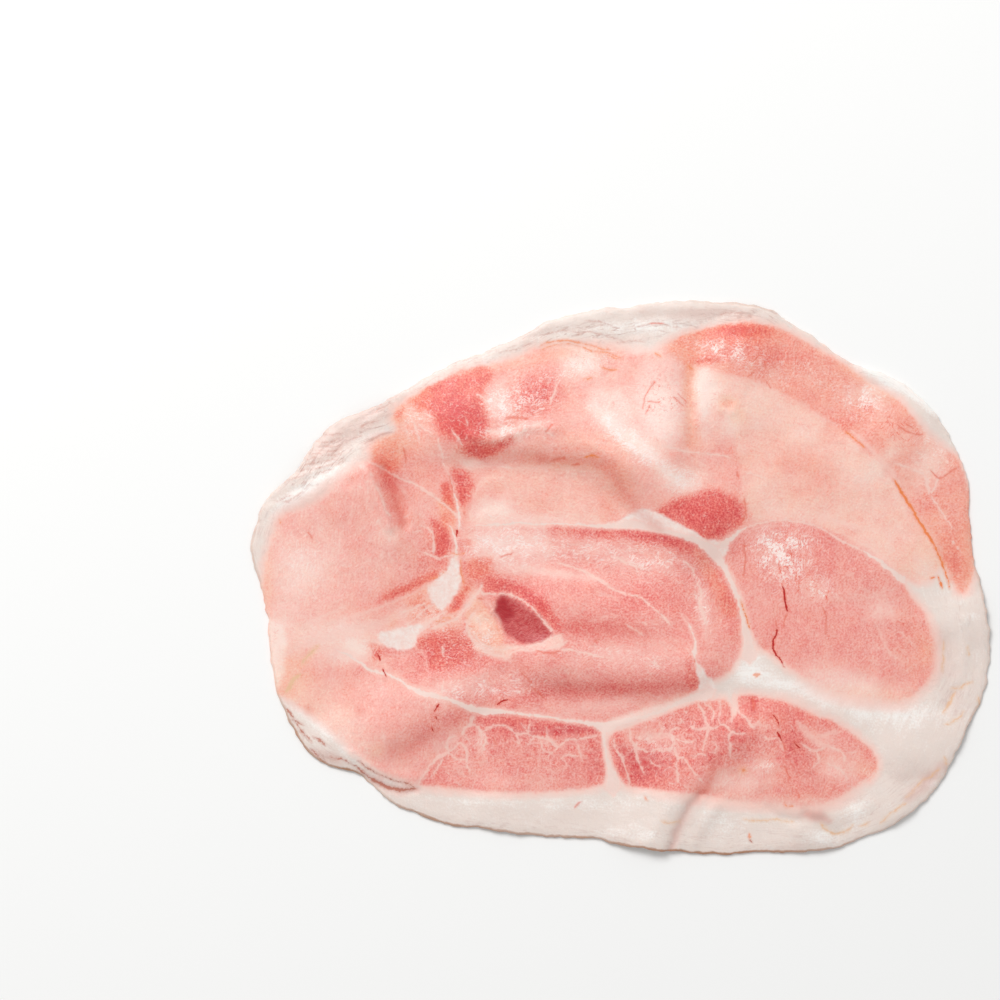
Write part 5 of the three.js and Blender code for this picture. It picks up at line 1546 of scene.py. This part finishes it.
MEAT_EDGE = (-0.8, 0.8)  # mm of depth
PATCH_EDGE = (-0.5, 0.8, 0.0, 0.95)
# How wet the slice is, and how far light goes into it
WETNESS = {
    "Specular IOR Level": 0.45, "Coat Weight": 0.12, "Coat Roughness": 0.22,
    "Subsurface Weight": 0.3, "Subsurface Radius": (1.0, 0.45, 0.3), "Subsurface Scale": 1.2 * MM,
}
ROUGHNESS = (0.34, 0.5)
BUMP = {"Strength": 0.4, "Distance": 0.3 * MM}
# How soft each kind of drawn line's edge is, in mm
PALE_SOFT = 0.4
CRISP_SOFT = 0.2
BROWN_SOFT = 0.22
ORANGE_SOFT = 0.24
TAN_SOFT = 0.28
RED_SOFT = 0.17


def ham_material(line_counts):
    """Fat and meat, then what lies on both: patches, lines, the folds' painted shade, the browned edge."""
    w = Wiring("ham_meat")
    coordinates = w.node("ShaderNodeTexCoord", {}).outputs["Object"]
    place = w.node("ShaderNodeVectorMath", {0: coordinates, 3: 1 / MM}, operation="SCALE").outputs[0]
    warped = w.warped(place, *BROAD_BEND)
    waves = w.noise(place, *WAVES)
    ripples = w.noise(place, *RIPPLES)
    wobble = w.total(w.centred(waves, 1.4), w.centred(ripples, 0.5))
    jagged = w.total(w.centred(waves, 1.2), w.centred(ripples, 0.7))
    thinning = w.centred(w.noise(warped, *THINNING), 1.2)

    def lines(kind, sway, thinner, softness):
        return w.drawn_lines(kind, line_counts[kind], sway, thinner, softness)

    depth = w.total(w.field("meat"), w.centred(waves, 1.7), w.centred(ripples, 0.4))
    depth = w.math("DIVIDE", depth, w.math("ADD", w.field("soft_edge"), 1.0))
    fat, meat = fat_colour(w, place, warped, depth), meat_colour(w, place, warped, depth)
    base = w.mix(w.step(depth, *MEAT_EDGE), fat, meat)
    patch = w.total(w.field("patch"), w.centred(waves, 1.8), w.centred(ripples, 0.8))
    flecked = w.mix(w.step(thinning, -0.3, 0.35, 0.0, 0.6), SEAM, FAT_BRIGHT)
    base = w.mix(w.step(patch, *PATCH_EDGE), base, flecked)

    pale = lines("pale", wobble, thinning, PALE_SOFT)
    base = w.mix(pale, base, w.mix(w.step(pale, 0.6, 1.0), VEIN, SEAM))
    base = w.mix(lines("crisp", jagged, thinning, CRISP_SOFT), base, CRISP)
    # Painted shade of the folds and of the shadow under the lifted edge, multiplied into the colour
    base = w.shaded(w.field("shade"), base, FOLD_SHADE)
    # Brown lines: browned cut edges, a painted shadow under the lifted edge, and painted shade in the
    # rim's creases
    base = w.mix(lines("brown", jagged, thinning, BROWN_SOFT), base, CUT_BROWN_AND_SHADOW)
    base = w.mix(lines("orange", w.centred(waves, 1.0), thinning, ORANGE_SOFT), base, DRIED)
    base = w.mix(lines("tan", wobble, thinning, TAN_SOFT), base, TAN)
    broken = w.math("MULTIPLY_ADD", ripples, 0.4, -0.3)
    red = lines("red", w.centred(waves, 1.2), broken, RED_SOFT)
    base = w.mix(red, base, w.mix(w.step(red, 0.5, 0.9), HAIRLINE, CRACK))
    at_rim = w.step(w.math("ADD", w.field("rim"), w.centred(waves, 0.8)), 0.5, 1.1, 1.0, 0.0)
    base = w.mix(w.math("MULTIPLY", at_rim, w.field("browned_edge"), clamp=True), base, BROWN)

    broad = w.centred(w.noise(place, *BROAD_BUMPS), 0.8)
    fine = w.total(w.centred(w.noise(place, *FINE_BUMPS), 1.0), broad)
    bump = w.node("ShaderNodeBump", {"Height": fine, **BUMP}).outputs[0]
    roughness = w.step(waves, 0.3, 0.7, *ROUGHNESS)
    inputs = {"Base Color": base, "Roughness": roughness, "Normal": bump, **WETNESS}
    shader = w.node("ShaderNodeBsdfPrincipled", inputs, subsurface_method="BURLEY")
    w.node("ShaderNodeOutputMaterial", {"Surface": shader.outputs[0]})
    return w.material


# ---- The stage ----

FLOOR_SIZE = 6.0
FLOOR_DROP = 0.02 * MM  # keeps the floor clear of the slice's flat underside
FLOOR_WHITE = colour(249, 249, 248)
CAMERA_LENS = 120.0
SENSOR = 36.0
KEY_PLACE = (-0.6, 1.1, 1.35)
KEY_SIZE = 0.9
KEY_WATTS = 23.5
SKY_WHITE = (1.0, 1.0, 1.0, 1.0)
SKY_STRENGTH = 0.52


def make_floor():
    """A plain pale floor, which is only the stage."""
    half = FLOOR_SIZE / 2
    mesh = bpy.data.meshes.new("floor")
    corners = [(-half, -half, 0), (half, -half, 0), (half, half, 0), (-half, half, 0)]
    mesh.from_pydata(corners, [], [(0, 1, 2, 3)])
    floor = add_object("floor", mesh)
    floor.location.z = -FLOOR_DROP
    w = Wiring("floor")
    shader = w.node("ShaderNodeBsdfPrincipled", {
        "Base Color": FLOOR_WHITE, "Roughness": 0.8, "Specular IOR Level": 0.1,
    })
    w.node("ShaderNodeOutputMaterial", {"Surface": shader.outputs[0]})
    mesh.materials.append(w.material)


def make_light(name, place, size, power):
    """A square soft light that faces the slice."""
    data = bpy.data.lights.new(name, "AREA")
    data.size = size
    data.energy = power
    light = add_object(name, data)
    light.location = place
    light.rotation_euler = (-Vector(place)).to_track_quat("-Z", "Y").to_euler()


def make_lights():
    """One large soft light from behind the slice's left, under an even white sky."""
    make_light("key", KEY_PLACE, KEY_SIZE, KEY_WATTS)
    world = bpy.data.worlds.new("studio")
    world.use_nodes = True
    background = world.node_tree.nodes["Background"]
    background.inputs["Color"].default_value = SKY_WHITE
    background.inputs["Strength"].default_value = SKY_STRENGTH
    bpy.context.scene.world = world
    bpy.context.scene.view_settings.view_transform = "Standard"


def make_camera():
    """Straight above the middle of the photograph, through a long lens."""
    data = bpy.data.cameras.new("camera")
    data.lens = CAMERA_LENS
    data.sensor_width = SENSOR
    camera = add_object("camera", data)
    across = PHOTO_PX * PIXEL
    middle = PHOTO_PX / 2
    camera.location = (
        (middle - SLICE_PX[0]) * PIXEL,
        (SLICE_PX[1] - middle) * PIXEL,
        across * CAMERA_LENS / SENSOR,
    )
    bpy.context.scene.camera = camera


make_camera()
make_floor()
make_lights()
ham_slice = make_slice()
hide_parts("ham_slice")
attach(ham_slice, "root")
